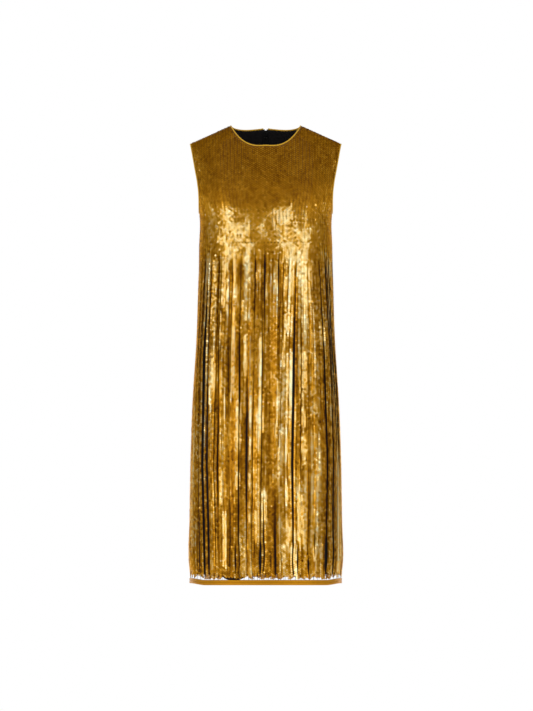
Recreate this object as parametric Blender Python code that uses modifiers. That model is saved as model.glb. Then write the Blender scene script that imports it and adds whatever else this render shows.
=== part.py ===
"""Sleeveless sequin fringe mini dress, filled out as when worn.

Metres, +Z up, the front faces -Y. The origin is between the shoulders, at the height
where the neck edge meets the shoulder seam. Left and right are the wearer's.
"""
import math

import bmesh
import bpy
import numpy as np
from mathutils import Vector

FRONT, BACK = -1, 1
LEFT, RIGHT = 1, -1

# Driving dimensions
LENGTH = 1.000  # shoulder to hem
YOKE_BOTTOM = -0.260  # the strands are let go here
UNDERARM = -0.192
NECK_HALF = 0.078
NECK_REACH = {FRONT: 0.084, BACK: 0.056}  # from the shoulder seam, in plan
NECK_POWER = 2.5
SHOULDER_TIP = (0.1625, -0.0385)  # half width, height
RING_POWER = 2.3  # of the superellipse that each level is
SHOULDER_ROUND = 0.170  # height over which the shoulder rounds off
SHOULDER_POWER = 2.2
SEAM = 0.0003
SEAM_HALF = 0.0003  # at the side and shoulder seams, whose walls lean in a little
YOKE_WALL = 0.0015
SLIP_WALL = 0.001
SLIP_INSET = 0.002  # from the outline to the slip, in the yoke
SLIP_HANG = 0.007  # the same under the fringe
SLIP_BOTTOM = -0.977
SLIP_DIP = (-0.071, 0.026, 0.012)  # centre, half width, depth of the slip's low stretch
PIPING = 0.0021  # radius
STRANDS = 118  # on each side of the dress
STRAND_SHARE = 0.8  # of the pitch
STRAND_THICK = 0.0016
STRIP = 0.006  # height of the strip that the strands grow from
STRIP_WALL = 0.0015
THREAD = 0.0003  # half width of the thread below a strand
SEQUINS_END = -0.984
BAND_HIGH = 0.0115
BAND_WALL = 0.0012
HEM_LIFT = (0.130, 0.166, 0.0045)  # starts, ends, height
ZIP_HALF = 0.002
ZIP_THICK = 0.0026
ZIP_TOP, ZIP_END = -0.013, -0.480
SLIDER_AT = -0.0215
TAB_LONG = 0.016

# The outline, level by level
BODY_COLUMNS = ("height", "half_width", "front_depth", "back_depth")
BODY = (
    (0.060, 0.1650, 0.096, 0.100),
    (-0.060, 0.1650, 0.100, 0.101),
    (-0.100, 0.1626, 0.105, 0.103),
    (-0.130, 0.1600, 0.108, 0.104),
    (-0.160, 0.1525, 0.110, 0.105),
    (-0.192, 0.1446, 0.112, 0.105),
    (-0.262, 0.1446, 0.113, 0.106),
    (-0.336, 0.1478, 0.113, 0.108),
    (-0.467, 0.1522, 0.114, 0.112),
    (-0.597, 0.1598, 0.117, 0.117),
    (-0.728, 0.1641, 0.120, 0.120),
    (-0.858, 0.1663, 0.123, 0.123),
    (-0.950, 0.1682, 0.125, 0.125),
    (-0.985, 0.1653, 0.124, 0.124),
    (-1.010, 0.1663, 0.125, 0.125),
)

# The armhole's edge as the front view shows it
ARMHOLE_COLUMNS = ("height", "half_width")
ARMHOLE = (
    (-0.0385, 0.1625),
    (-0.066, 0.1578),
    (-0.093, 0.1530),
    (-0.119, 0.1480),
    (-0.145, 0.1448),
    (-0.165, 0.1441),
    (-0.192, 0.1446),
)

# Partings between strands: where each lies across the dress at four levels, and its width
PARTING_LEVELS = (-0.270, -0.500, -0.740, -0.980)
PARTING_COLUMNS = ("side", "at_top", "at_upper", "at_lower", "at_hem", "top_width", "width")
PARTINGS = (
    (FRONT, -0.121, -0.133, -0.137, -0.131, 0, 0.0050),
    (FRONT, -0.006, -0.007, -0.010, -0.012, 0, 0.0025),
    (FRONT, 0.068, 0.061, 0.057, 0.061, 0, 0.0060),
    (FRONT, 0.114, 0.128, 0.135, 0.129, 0, 0.0050),
    (BACK, -0.118, -0.129, -0.134, -0.128, 0, 0.0050),
    (BACK, -0.055, -0.063, -0.060, -0.066, 0, 0.0045),
    (BACK, 0, 0, 0, 0, 0.0050, 0.0010),
    (BACK, 0.071, 0.066, 0.073, 0.069, 0, 0.0055),
    (BACK, 0.124, 0.131, 0.136, 0.133, 0, 0.0045),
)

# Grid of half a panel: columns out from the centre line, rows up from the yoke's lower edge
COLUMNS = 9
NECK_COLUMNS = 3  # of them end on the neck edge
ROWS_LOW = 2  # from the yoke's lower edge to the underarm
HIGH_SHARES = (0, 0.12, 0.24, 0.36, 0.48, 0.60, 0.72, 0.84, 0.95, 1)  # on to the shoulder seam
ROWS_HIGH = len(HIGH_SHARES) - 1
ROWS_NECK = 4  # of those, up to where the third column meets the neck edge
NECK_CROWD = 1.6  # rows draw closer together up to the neck, where the form bends most
NECK_TURN = math.radians(50)
ZIP_FOOT = (ZIP_END - 0.008, ZIP_END - 0.002)  # where the back edges draw together
SLIP_LEVELS = {
    FRONT: (-0.820, -0.650, -0.480, -0.300, -0.266),
    BACK: (-0.820, -0.650, *ZIP_FOOT, -0.300, -0.266),
}

# Strands: corners of each at four levels, then the hem band's rows from its top edge down
STRAND_RINGS_COLUMNS = ("height", "inset", "thickness", "width_share")
STRAND_RINGS = (
    (YOKE_BOTTOM - STRIP / 2, 0.00045, 0.0008, 0.7 * STRAND_SHARE),
    (PARTING_LEVELS[1], 0.0, STRAND_THICK, STRAND_SHARE),
    (PARTING_LEVELS[2], 0.0, STRAND_THICK, STRAND_SHARE),
    (SEQUINS_END, 0.0, STRAND_THICK, STRAND_SHARE),
)
BAND_COLUMNS = ("down", "out")
BAND_PROFILE = ((0.0, -0.0008), (0.0023, 0.0006), (0.0056, -0.0006), (0.0090, 0.0006), (BAND_HIGH, -0.0008))

# Zip hardware as boxes: size and centre in X, Y and Z, in a frame whose origin is on the
# pull tab's axis, with +Y away from the cloth and +Z up along it
TAB_AXIS_OUT = 0.0030  # from the outline
BASE_TOP = -0.0009
SLIDER_BASE = ((0.0062, 0.0016, 0.0090), (0, BASE_TOP - 0.0008, 0.0010))
SLIDER_BRIDGE = (
    ((0.0014, 0.0034, 0.0010), (0, 0.0005, 0.0015)),
    ((0.0014, 0.0034, 0.0010), (0, 0.0005, -0.0015)),
    ((0.0014, 0.0012, 0.0040), (0, 0.0016, 0)),
)
TAB_PLATE = ((0.0050, 0.0010, TAB_LONG), (0, 0, 0.0005 - TAB_LONG / 2))
TAB_HOLE = ((0.0026, 0.0030, 0.0030), (0, 0, -0.0020))
HOOK_AT = -0.0175
HOOK = ((0.0085, 0.0012, 0.0040), (0, -0.0022, 0))

GOLD = (0.30, 0.17, 0.03)
SATIN = (0.55, 0.28, 0.03)
BLACK = (0.012, 0.010, 0.011)
DARK_METAL = (0.05, 0.045, 0.045)


def level(height, column):
    """A column of BODY at any height, as a smooth curve through its rows."""
    table = np.array(BODY)[::-1]
    heights, values = table[:, 0], table[:, BODY_COLUMNS.index(column)]
    slopes = np.gradient(values, heights)
    height = np.clip(np.asarray(height, float), heights[0], heights[-1])
    row = np.clip(np.searchsorted(heights, height) - 1, 0, len(heights) - 2)
    step = heights[row + 1] - heights[row]
    t = (height - heights[row]) / step
    return (
        values[row] * (1 + 2 * t) * (1 - t) ** 2
        + slopes[row] * step * t * (1 - t) ** 2
        + values[row + 1] * t * t * (3 - 2 * t)
        + slopes[row + 1] * step * t * t * (t - 1)
    )


def ridge(x):
    """Height of the shoulder seam, and of its run on towards the neck."""
    x = np.abs(x)
    slope = -SHOULDER_TIP[1] / (SHOULDER_TIP[0] - NECK_HALF)
    inside = NECK_HALF - x
    return np.where(inside > 0, slope * inside * (1 - 0.4 * inside / NECK_HALF), slope * inside)


def outline(side, angle, height):
    """Point of the dress's outer form; the angle is 0 at centre, pi/2 at the side seam."""
    sine, cosine = np.sin(angle), np.clip(np.cos(angle), 0, None)
    x = level(height, "half_width") * np.sign(sine) * np.abs(sine) ** (2 / RING_POWER)
    depth = level(height, "front_depth" if side == FRONT else "back_depth")
    drop = np.clip((ridge(x) - height) / SHOULDER_ROUND, 0, 1)
    rounding = (1 - (1 - drop) ** SHOULDER_POWER) ** (1 / SHOULDER_POWER)
    y = side * depth * rounding * cosine ** (2 / RING_POWER)
    return np.stack([x, y, height + 0 * x], axis=-1)


def outward(side, angle, height):
    """Unit normal of the outer form."""
    turn, rise = math.radians(1.0), 0.001
    x = outline(side, angle, height)[..., 0]
    top = np.minimum(height + rise, ridge(x))
    low_angle = np.maximum(angle - turn, -math.pi / 2)
    high_angle = np.minimum(angle + turn, math.pi / 2)
    across = outline(side, high_angle, height) - outline(side, low_angle, height)
    up = outline(side, angle, top) - outline(side, angle, top - 2 * rise)
    normal = -side * np.cross(across, up)
    return normal / np.linalg.norm(normal, axis=-1, keepdims=True)


def inset_point(side, angle, height, inset):
    """Point under the outer form, kept half a seam clear of the side and shoulder seams."""
    point = outline(side, angle, height) - np.asarray(inset)[..., None] * outward(side, angle, height)
    point[..., 1] = side * np.maximum(side * point[..., 1], SEAM_HALF)
    return point


def angle_at(x, height):
    share = np.clip(np.abs(x) / level(height, "half_width"), 0, 1)
    return np.sign(x) * np.arcsin(share ** (RING_POWER / 2))


def neck_edge(side, turn):
    """Angle and height of the neck edge; the turn is 0 at centre, pi/2 at the shoulder seam."""
    x = NECK_HALF * math.sin(turn) ** (2 / NECK_POWER)
    y = NECK_REACH[side] * max(math.cos(turn), 0) ** (2 / NECK_POWER)
    height = 0.0
    for _ in range(12):
        flat = (1 - (x / level(height, "half_width")) ** RING_POWER) ** (1 / RING_POWER)
        depth = level(height, "front_depth" if side == FRONT else "back_depth")
        rounding = y / (depth * flat)
        drop = 1 - (1 - rounding**SHOULDER_POWER) ** (1 / SHOULDER_POWER)
        height = float(ridge(x)) - SHOULDER_ROUND * drop
    return np.array([float(angle_at(x, height)), height])


def armhole_edge(share):
    """Angle and height of the armhole's edge; the share is 0 at the underarm, 1 at the tip."""
    height = UNDERARM + (SHOULDER_TIP[1] - UNDERARM) * (1 - math.cos(math.pi * share)) / 2
    rows = np.array(ARMHOLE)[::-1]
    return np.array([float(angle_at(np.interp(height, rows[:, 0], rows[:, 1]), height)), height])


def shoulder_edge(share):
    """Angle and height of the shoulder seam, from the neck to the tip."""
    x = NECK_HALF + (SHOULDER_TIP[0] - NECK_HALF) * share
    return np.array([float(angle_at(x, float(ridge(x)))), float(ridge(x))])


def half_yoke(side):
    """Angles and heights of half a panel above the fringe; the neck's hollow is NaN."""
    grid = np.full((ROWS_LOW + ROWS_HIGH + 1, COLUMNS + 1, 2), np.nan)
    for column in range(COLUMNS + 1):
        foot = math.pi / 2 * column / COLUMNS
        for row in range(ROWS_LOW + 1):
            grid[row, column] = foot, YOKE_BOTTOM + (UNDERARM - YOKE_BOTTOM) * row / ROWS_LOW
    turns = [NECK_TURN * c / NECK_COLUMNS for c in range(NECK_COLUMNS + 1)]
    for column, turn in enumerate(turns):
        foot, head = grid[ROWS_LOW, column], neck_edge(side, turn)
        for row in range(1, ROWS_NECK + 1):
            rise = 1 - (1 - row / ROWS_NECK) ** NECK_CROWD
            grid[ROWS_LOW + row, column] = foot + (head - foot) * rise
    for row in range(ROWS_NECK + 1, ROWS_HIGH + 1):
        share = (HIGH_SHARES[row] - HIGH_SHARES[ROWS_NECK]) / (1 - HIGH_SHARES[ROWS_NECK])
        turn = NECK_TURN + (math.pi / 2 - NECK_TURN) * share
        grid[ROWS_LOW + row, NECK_COLUMNS] = neck_edge(side, turn)
    for row in range(1, ROWS_HIGH + 1):
        grid[ROWS_LOW + row, COLUMNS] = armhole_edge(HIGH_SHARES[row])
    fill_strap(grid[ROWS_LOW:, NECK_COLUMNS:])
    return grid


def fill_strap(grid):
    """Fills a grid between its first and last columns, on the shoulder seam at its top row."""
    rows, columns = grid.shape[0] - 1, grid.shape[1] - 1
    heads = [shoulder_edge(column / columns) for column in range(columns + 1)]
    for row in range(1, rows + 1):
        share = HIGH_SHARES[row]
        bend = [
            grid[row, end] - grid[0, end] * (1 - share) - heads[end] * share for end in (0, columns)
        ]
        for column in range(1, columns):
            straight = grid[0, column] * (1 - share) + heads[column] * share
            across = column / columns
            grid[row, column] = straight + bend[0] * (1 - across) + bend[1] * across


def whole(half):
    """Both halves of a panel from one, mirrored about the centre line."""
    mirrored = half[:, :0:-1] * np.array([-1, 1])
    return np.concatenate([mirrored, half], axis=1)


def centre_gap(height):
    """Distance from the centre-back line to a panel's edge, beside the zip and below it."""
    beside = ZIP_HALF + SEAM
    return np.interp(height, ZIP_FOOT, (SEAM / 2, beside))


def back_half(grid, hand):
    """One hand's half of a back grid, its centre column moved beside the zip."""
    half = grid * np.array([hand, 1])
    half[:, 0, 0] = hand * angle_at(centre_gap(half[:, 0, 1]), half[:, 0, 1])
    return half


def new_material(name, colour, roughness, metallic):
    material = bpy.data.materials.new(name)
    material.use_nodes = True
    shader = material.node_tree.nodes["Principled BSDF"]
    shader.inputs["Base Color"].default_value = (*colour, 1)
    shader.inputs["Roughness"].default_value = roughness
    shader.inputs["Metallic"].default_value = metallic
    material.diffuse_color = (*colour, 1)
    return material


def new_object(name, mesh, collection, material):
    part = bpy.data.objects.new(name, mesh)
    part.data.materials.append(material)
    collection.objects.link(part)
    return part


def sheet_mesh(name, points, closed=False):
    """Open surface through a grid of points, without the cells that touch a NaN."""
    bm = bmesh.new()
    verts = [[None if np.isnan(p[0]) else bm.verts.new(p) for p in row] for row in points]
    columns = len(points[0])
    for row in range(len(points) - 1):
        for column in range(columns if closed else columns - 1):
            following = (column + 1) % columns
            corners = [
                verts[row][column],
                verts[row][following],
                verts[row + 1][following],
                verts[row + 1][column],
            ]
            if None not in corners:
                bm.faces.new(corners)
    bmesh.ops.delete(bm, geom=[v for v in bm.verts if not v.link_faces], context="VERTS")
    mesh = bpy.data.meshes.new(name)
    bm.to_mesh(mesh)
    bm.free()
    mesh.shade_smooth()
    return mesh


def cloth(name, points, wall, collection, material, closed=False):
    """A wall of cloth whose outer face is the grid of points."""
    part = new_object(name, sheet_mesh(name, points, closed), collection, material)
    shell = part.modifiers.new("Wall", "SOLIDIFY")
    shell.thickness = wall
    shell.offset = -1
    return part


def panel_points(side, grid, inset):
    """Points of a grid of angles and heights, with columns running so that faces look out."""
    points = np.full((*grid.shape[:2], 3), np.nan)
    known = ~np.isnan(grid[..., 0])
    depth = np.broadcast_to(inset, grid.shape[:2])[known]
    points[known] = inset_point(side, grid[known][:, 0], grid[known][:, 1], depth)
    looks_out = side * np.sign(grid[0, -1, 0] - grid[0, 0, 0]) < 0
    return points if looks_out else points[:, ::-1]


def slip_grid(half, side):
    """A yoke grid with the slip's lower levels under it, and the inset of each row."""
    columns = half.shape[1]
    feet = np.linspace(0, math.pi / 2, columns)
    heights = [SLIP_BOTTOM, *SLIP_LEVELS[side]]
    lower = [np.stack([feet, np.full(columns, height)], axis=1) for height in heights]
    grid = np.concatenate([np.array(lower), half])
    hang = [SLIP_HANG] * (len(heights) - 1) + [SLIP_INSET]
    return grid, np.array(hang + [SLIP_INSET] * len(half))[:, None]


def dip_slip(grid):
    """Lets the front slip's hem hang lower over one stretch, as the photo shows."""
    x = outline(FRONT, grid[0, :, 0], grid[0, :, 1])[:, 0]
    centre, half_width, depth = SLIP_DIP
    grid[0, :, 1] -= depth * np.exp(-(((x - centre) / half_width) ** 4))
    return grid


def build_yoke_and_slip(collection, sequins, lining):
    for side in (FRONT, BACK):
        half = half_yoke(side)
        slip, inset = slip_grid(half, side)
        if side == FRONT:
            cloth("yoke_front", panel_points(side, whole(half), 0), YOKE_WALL, collection, sequins)
            grid = dip_slip(whole(slip))
            cloth("slip_front", panel_points(side, grid, inset), SLIP_WALL, collection, lining)
            continue
        for hand, word in ((LEFT, "left"), (RIGHT, "right")):
            points = panel_points(side, back_half(half, hand), 0)
            cloth(f"yoke_back_{word}", points, YOKE_WALL, collection, sequins)
            points = panel_points(side, back_half(slip, hand), inset)
            cloth(f"slip_back_{word}", points, SLIP_WALL, collection, lining)


def piping(name, points, normals, inward_to, closed, collection, material):
    """Round piping that runs just outside an edge, over both layers of cloth."""
    count = len(points)
    curve = bpy.data.curves.new(name, "CURVE")
    curve.dimensions = "3D"
    curve.bevel_depth = PIPING
    curve.bevel_resolution = 1
    curve.use_fill_caps = True
    spline = curve.splines.new("POLY")
    spline.points.add(count - 1)
    spline.use_cyclic_u = closed
    for i in range(count):
        before = points[(i - 1) % count if closed else max(i - 1, 0)]
        after = points[(i + 1) % count if closed else min(i + 1, count - 1)]
        aside = Vector(after - before).cross(Vector(normals[i])).normalized()
        if aside.dot(inward_to - Vector(points[i])) < 0:
            aside.negate()
        spline.points[i].co = (*(Vector(points[i]) + aside * (PIPING + 1.5 * SEAM)), 1)
    return new_object(name, curve, collection, material)


def edge_run(nodes):
    """Points midway through the two layers, and normals, of a run of edge nodes."""
    midway = (SLIP_INSET + SLIP_WALL) / 2
    points = [
        outline(side, np.array(a), np.array(z)) - midway * outward(side, np.array(a), np.array(z))
        for side, a, z in nodes
    ]
    normals = [outward(side, np.array(a), np.array(z)) for side, a, z in nodes]
    return points, normals


def build_pipings(collection, material):
    grids = {side: half_yoke(side)[ROWS_LOW:] for side in (FRONT, BACK)}
    neck = {
        side: [tuple(g[ROWS_NECK, c]) for c in range(NECK_COLUMNS)]
        + [tuple(g[r, NECK_COLUMNS]) for r in range(ROWS_NECK, ROWS_HIGH + 1)]
        for side, g in grids.items()
    }
    start = (float(angle_at(ZIP_HALF + 0.003, neck[BACK][0][1])), neck[BACK][0][1])
    back = [(BACK, a, z) for a, z in [start, *neck[BACK][1:]]]
    front = [(FRONT, a, z) for a, z in neck[FRONT][-2::-1]]
    half = back + front
    nodes = half + [(side, -a, z) for side, a, z in half[-2::-1]]
    points, normals = edge_run(nodes)
    piping("neck_piping", points, normals, Vector((0, 0, -0.02)), False, collection, material)
    for hand, word in ((LEFT, "left"), (RIGHT, "right")):
        up = [(FRONT, hand * a, z) for a, z in grids[FRONT][:, COLUMNS]]
        down = [(BACK, hand * a, z) for a, z in grids[BACK][-2:0:-1, COLUMNS]]
        points, normals = edge_run(up + down)
        middle = Vector((hand * 0.155, 0, (UNDERARM + SHOULDER_TIP[1]) / 2))
        piping(f"armhole_piping_{word}", points, normals, middle, True, collection, material)


def half_ring(side, height):
    """Evenly spaced angles, the share of the way round half the dress at each, its length."""
    angles = np.linspace(-math.pi / 2, math.pi / 2, 361)
    points = outline(side, angles, np.full(361, height))
    run = np.concatenate([[0], np.cumsum(np.linalg.norm(np.diff(points, axis=0), axis=1))])
    return angles, run / run[-1], run[-1]


def parted(side, shares, height):
    """Shares of the way round, after the strands have drawn aside at the partings."""
    angles, run, length = half_ring(side, height)
    level_clip = np.clip(height, PARTING_LEVELS[-1], PARTING_LEVELS[0])
    held, moved = [0.0], [0.0]
    for row in PARTINGS:
        if row[0] != side:
            continue
        x = np.interp(-level_clip, -np.array(PARTING_LEVELS), row[1:5])
        widths = (0.6 * row[6], row[6], row[6], row[5])
        opening = np.interp(height, (SEQUINS_END, *PARTING_LEVELS[2:0:-1], YOKE_BOTTOM), widths) / length
        centre = np.interp(angle_at(x, height), angles, run)
        rest_angles, rest_run, _ = half_ring(side, PARTING_LEVELS[1])
        rest = np.interp(angle_at(row[2], PARTING_LEVELS[1]), rest_angles, rest_run)
        rest = round(rest * STRANDS) / STRANDS
        held += [rest - 1e-6, rest + 1e-6]
        moved += [centre - opening / 2, centre + opening / 2]
    return np.interp(shares, held + [1.0], moved + [1.0])


def hem_lift(x):
    start, end, lift = HEM_LIFT
    t = np.clip((np.abs(x) - start) / (end - start), 0, 1)
    return lift * t * t * (3 - 2 * t)


def strand_ring(side, shares, row):
    """Three corners of every strand at one level: the outer edge and two inner ones."""
    height, inset, thick, width_share = row
    angles, run, length = half_ring(side, height)
    angle = np.interp(parted(side, shares, height), run, angles)
    level_of = np.full(len(angle), height)
    centre = outline(side, angle, level_of)
    if height == SEQUINS_END:
        level_of = level_of + hem_lift(centre[:, 0])
        centre[:, 2] = level_of
    normal = outward(side, angle, np.full(len(angle), height))
    half = width_share * length / STRANDS / 2
    return triangle(centre - inset * normal, normal, thick, half)


def triangle(outer, normal, thick, half):
    """Corners of strands from their outer edges: that edge, and two inner ones."""
    along = np.cross(normal, np.array([0.0, 0.0, 1.0]))
    along /= np.linalg.norm(along, axis=1, keepdims=True)
    inner = outer - thick * normal
    return np.stack([outer, inner - half * along, inner + half * along], axis=1)


def thread_ring(side, shares):
    """The three corners of every strand's thread where it meets the hem band."""
    top = BAND_HIGH - LENGTH
    angles, run, _ = half_ring(side, top)
    angle = np.interp(parted(side, shares, top), run, angles)
    centre = outline(side, angle, np.full(len(angle), top))
    centre[:, 2] = top + hem_lift(centre[:, 0]) + SEAM
    normal = outward(side, angle, np.full(len(angle), top))
    return triangle(centre - 0.0012 * normal, normal, 2 * THREAD, THREAD)


def strands_mesh(name, side, shares):
    """Every strand as a closed three-sided bar, with its thread below."""
    rings = [strand_ring(side, shares, row) for row in STRAND_RINGS] + [thread_ring(side, shares)]
    bm = bmesh.new()
    for strand in range(len(shares)):
        loops = [[bm.verts.new(corner) for corner in ring[strand]] for ring in rings]
        for upper, lower in zip(loops, loops[1:]):
            for i in range(3):
                bm.faces.new([upper[i], upper[(i + 1) % 3], lower[(i + 1) % 3], lower[i]])
        bm.faces.new(loops[0])
        bm.faces.new(loops[-1])
    bmesh.ops.triangulate(bm, faces=bm.faces[:])
    bmesh.ops.recalc_face_normals(bm, faces=bm.faces[:])
    mesh = bpy.data.meshes.new(name)
    bm.to_mesh(mesh)
    bm.free()
    return mesh


def fringe(name, side, first, last, collection, cutters, material):
    """A strip with its strands, from the first strand to the one before the last."""
    shares = (np.arange(first, last) + 0.5) / STRANDS
    strands = bpy.data.objects.new(f"{name}_strands", strands_mesh(name, side, shares))
    cutters.objects.link(strands)
    strands.hide_render = True
    strands.display_type = "WIRE"
    cells = (last - first) // 3
    ends = np.interp([first / STRANDS, last / STRANDS], *half_ring(side, YOKE_BOTTOM)[1::-1])
    angles = np.linspace(ends[0], ends[1], cells + 1)
    top, bottom = YOKE_BOTTOM - SEAM, YOKE_BOTTOM - STRIP
    grid = np.stack([np.stack([angles, np.full(cells + 1, z)], axis=1) for z in (bottom, top)])
    clear = angle_at(centre_gap(top), top)
    if side == BACK:
        grid[..., 0] = np.where(np.abs(grid[..., 0]) < clear, np.sign(ends.sum()) * clear, grid[..., 0])
    strip = cloth(name, panel_points(side, grid, 0), STRIP_WALL, collection, material)
    join = strip.modifiers.new("Strands", "BOOLEAN")
    join.operation = "UNION"
    join.object = strands


def build_band(collection, material):
    """The hem band, with two soft ridges, lifted a little at the sides."""
    angles = np.linspace(-math.pi / 2, math.pi / 2, 29)
    rows = []
    for down, out in reversed(BAND_PROFILE):
        height = np.full(len(angles), BAND_HIGH - LENGTH)
        ring = []
        for side, turned in ((FRONT, angles), (BACK, angles[::-1])):
            point = outline(side, turned, height) + out * outward(side, turned, height)
            ring.append(point[:-1])
        ring = np.concatenate(ring)
        ring[:, 2] += hem_lift(ring[:, 0]) - down
        rows.append(ring)
    cloth("hem_band", np.array(rows), BAND_WALL, collection, material, closed=True)


def build_zip(collection, material, metal):
    """Zip chain down the centre back, its slider, pull tab and the hook at the neck."""
    heights = np.array([ZIP_TOP, -0.03, -0.06, -0.10, -0.15, -0.20, -0.262, -0.300, -0.39, ZIP_END])
    zero = np.zeros(len(heights))
    slip_middle = SLIP_WALL / 2 + np.interp(-heights, (0.266, 0.300), (SLIP_INSET, SLIP_HANG))
    outer = slip_middle - ZIP_THICK / 2 - np.interp(-heights, (0.262, 0.300), (0.0012, 0))
    middle = outline(BACK, zero, heights) - outer[:, None] * outward(BACK, zero, heights)
    columns = [middle + np.array([x, 0, 0]) for x in (ZIP_HALF, -ZIP_HALF)]
    grid = np.stack(columns, axis=1)[::-1]
    cloth("zip_chain", grid, ZIP_THICK, collection, material)

    frame = bpy.data.objects.new("zip_slider_frame", None)
    collection.objects.link(frame)
    at = np.array(SLIDER_AT)
    normal = Vector(outward(BACK, np.array(0.0), at))
    frame.location = Vector(outline(BACK, np.array(0.0), at)) + normal * TAB_AXIS_OUT
    frame.rotation_euler = (math.atan2(normal.z, normal.y), 0, 0)
    slider = box("zip_slider", SLIDER_BASE, frame, collection, metal)
    for i, part in enumerate(SLIDER_BRIDGE):
        piece = box(f"zip_slider_bridge_{i}", part, frame, bpy.data.collections["cutters"], metal)
        piece.hide_render = True
        piece.display_type = "WIRE"
        join = slider.modifiers.new("Bridge", "BOOLEAN")
        join.operation = "UNION"
        join.object = piece
    tab = box("zip_pull_tab", TAB_PLATE, frame, collection, metal)
    hole = box("zip_pull_tab_hole", TAB_HOLE, frame, bpy.data.collections["cutters"], metal)
    hole.hide_render = True
    hole.display_type = "WIRE"
    cut = tab.modifiers.new("Eye", "BOOLEAN")
    cut.operation = "DIFFERENCE"
    cut.object = hole

    inner = SLIP_INSET + SLIP_WALL + SEAM
    height = np.array(HOOK_AT)
    hook_normal = Vector(outward(BACK, np.array(0.0), height))
    hook_frame = bpy.data.objects.new("neck_hook_frame", None)
    collection.objects.link(hook_frame)
    hook_frame.location = Vector(outline(BACK, np.array(0.0), height)) - hook_normal * inner
    hook_frame.rotation_euler = (math.atan2(hook_normal.z, hook_normal.y), 0, 0)
    box("neck_hook", HOOK, hook_frame, collection, metal)


def box(name, size_and_centre, frame, collection, material):
    """A box under a frame, with its origin on the frame's."""
    size, centre = size_and_centre
    bm = bmesh.new()
    bmesh.ops.create_cube(bm, size=1)
    bmesh.ops.scale(bm, vec=size, verts=bm.verts)
    bmesh.ops.translate(bm, vec=centre, verts=bm.verts)
    mesh = bpy.data.meshes.new(name)
    bm.to_mesh(mesh)
    bm.free()
    part = new_object(name, mesh, collection, material)
    part.parent = frame
    return part


def main():
    for old in list(bpy.data.objects):
        bpy.data.objects.remove(old)
    dress = bpy.data.collections.new("sequin_fringe_mini_dress")
    cutters = bpy.data.collections.new("cutters")
    bpy.context.scene.collection.children.link(dress)
    bpy.context.scene.collection.children.link(cutters)
    sequins = new_material("gold_sequins", GOLD, 0.3, 0.9)
    satin = new_material("gold_satin", SATIN, 0.35, 0.3)
    lining = new_material("black_slip_fabric", BLACK, 0.7, 0.0)
    tape = new_material("black_zip", BLACK, 0.5, 0.0)
    metal = new_material("dark_metal", DARK_METAL, 0.35, 0.9)
    build_yoke_and_slip(dress, sequins, lining)
    build_pipings(dress, satin)
    half = STRANDS // 2
    fringe("fringe_front", FRONT, 0, STRANDS, dress, cutters, sequins)
    fringe("fringe_back_right", BACK, 0, half, dress, cutters, sequins)
    fringe("fringe_back_left", BACK, half, STRANDS, dress, cutters, sequins)
    build_band(dress, satin)
    build_zip(dress, tape, metal)


main()
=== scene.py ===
import math

import bmesh
import bpy
import numpy as np
from bpy.props import FloatProperty, FloatVectorProperty, PointerProperty
from mathutils import Matrix, Vector


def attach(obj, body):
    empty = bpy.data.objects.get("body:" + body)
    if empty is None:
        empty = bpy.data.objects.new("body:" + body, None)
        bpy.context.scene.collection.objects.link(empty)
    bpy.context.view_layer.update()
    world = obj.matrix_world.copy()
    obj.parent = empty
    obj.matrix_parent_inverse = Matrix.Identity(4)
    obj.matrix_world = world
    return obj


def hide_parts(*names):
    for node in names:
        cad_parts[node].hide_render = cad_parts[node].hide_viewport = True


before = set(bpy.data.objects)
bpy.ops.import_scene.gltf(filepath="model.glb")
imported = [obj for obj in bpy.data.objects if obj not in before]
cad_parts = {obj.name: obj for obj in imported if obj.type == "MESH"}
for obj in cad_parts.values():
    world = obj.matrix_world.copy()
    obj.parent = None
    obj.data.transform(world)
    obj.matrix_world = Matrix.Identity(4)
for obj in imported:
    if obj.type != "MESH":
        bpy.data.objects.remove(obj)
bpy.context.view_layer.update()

bl_info = {
    "name": "Sequin Fringe Mini Dress",
    "version": (1, 0, 0),
    "blender": (4, 5, 0),
    "location": "3D View > Sidebar > Fringe Dress",
    "description": "Dresses the solids of a sequin fringe mini dress in sequins, satin and cloth",
    "category": "Object",
}

DRESS = "dress"
FRONT, BACK = -1, 1
DEPTHS = {FRONT: "front_depth", BACK: "back_depth"}
LEFT, RIGHT = 1, -1
WORDS = {LEFT: "left", RIGHT: "right"}

# The dress's sizes and places in metres, as its solids have them
LENGTH = 1.000
YOKE_BOTTOM = -0.260
UNDERARM = -0.192
NECK_HALF = 0.078
NECK_REACH = {FRONT: 0.084, BACK: 0.056}
NECK_POWER = 2.5
SHOULDER_TIP = (0.1625, -0.0385)
RING_POWER = 2.3
SHOULDER_ROUND = 0.170
SHOULDER_POWER = 2.2
SEAM_HALF = 0.0003
SEAM_SHOWS = 0.00008  # narrower than between the solids, so that no light comes through
SLIP_WALL = 0.001
SLIP_INSET = 0.002
SLIP_HANG = 0.007
SLIP_DROPS = (0.266, 0.300)  # how far down it leaves the yoke and hangs behind the strands
SLIP_BOTTOM = -0.977
SLIP_DIP = (-0.071, 0.026, 0.012)  # where its hem hangs lower at the front: place, reach, depth
STRANDS = 118
STRIP = 0.006
STRIP_IN = 0.0006
STRIP_WALL = 0.0009
SEQUINS_END = -0.984
BAND_HIGH = 0.0115
BAND_WALL = 0.0012
HEM_LIFT = (0.130, 0.166, 0.0045)  # how the hem rises at the sides: from and to x, and height
ZIP_HALF = 0.002
ZIP_TOP = -0.004
ZIP_END = -0.480
ZIP_DEPTH = (0.262, 0.300), (0.0, 0.0062)  # how far in it lies, over how far down
TEETH_TOP = -0.028
TOOTH_STEP = 0.0015
TOOTH = (0.0019, 0.0012, 0.0010)
SLIDER_AT = -0.0215
SLIDER_OUT = 0.0030
SLIDER = (0.0062, 0.0016, 0.0090)
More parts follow.
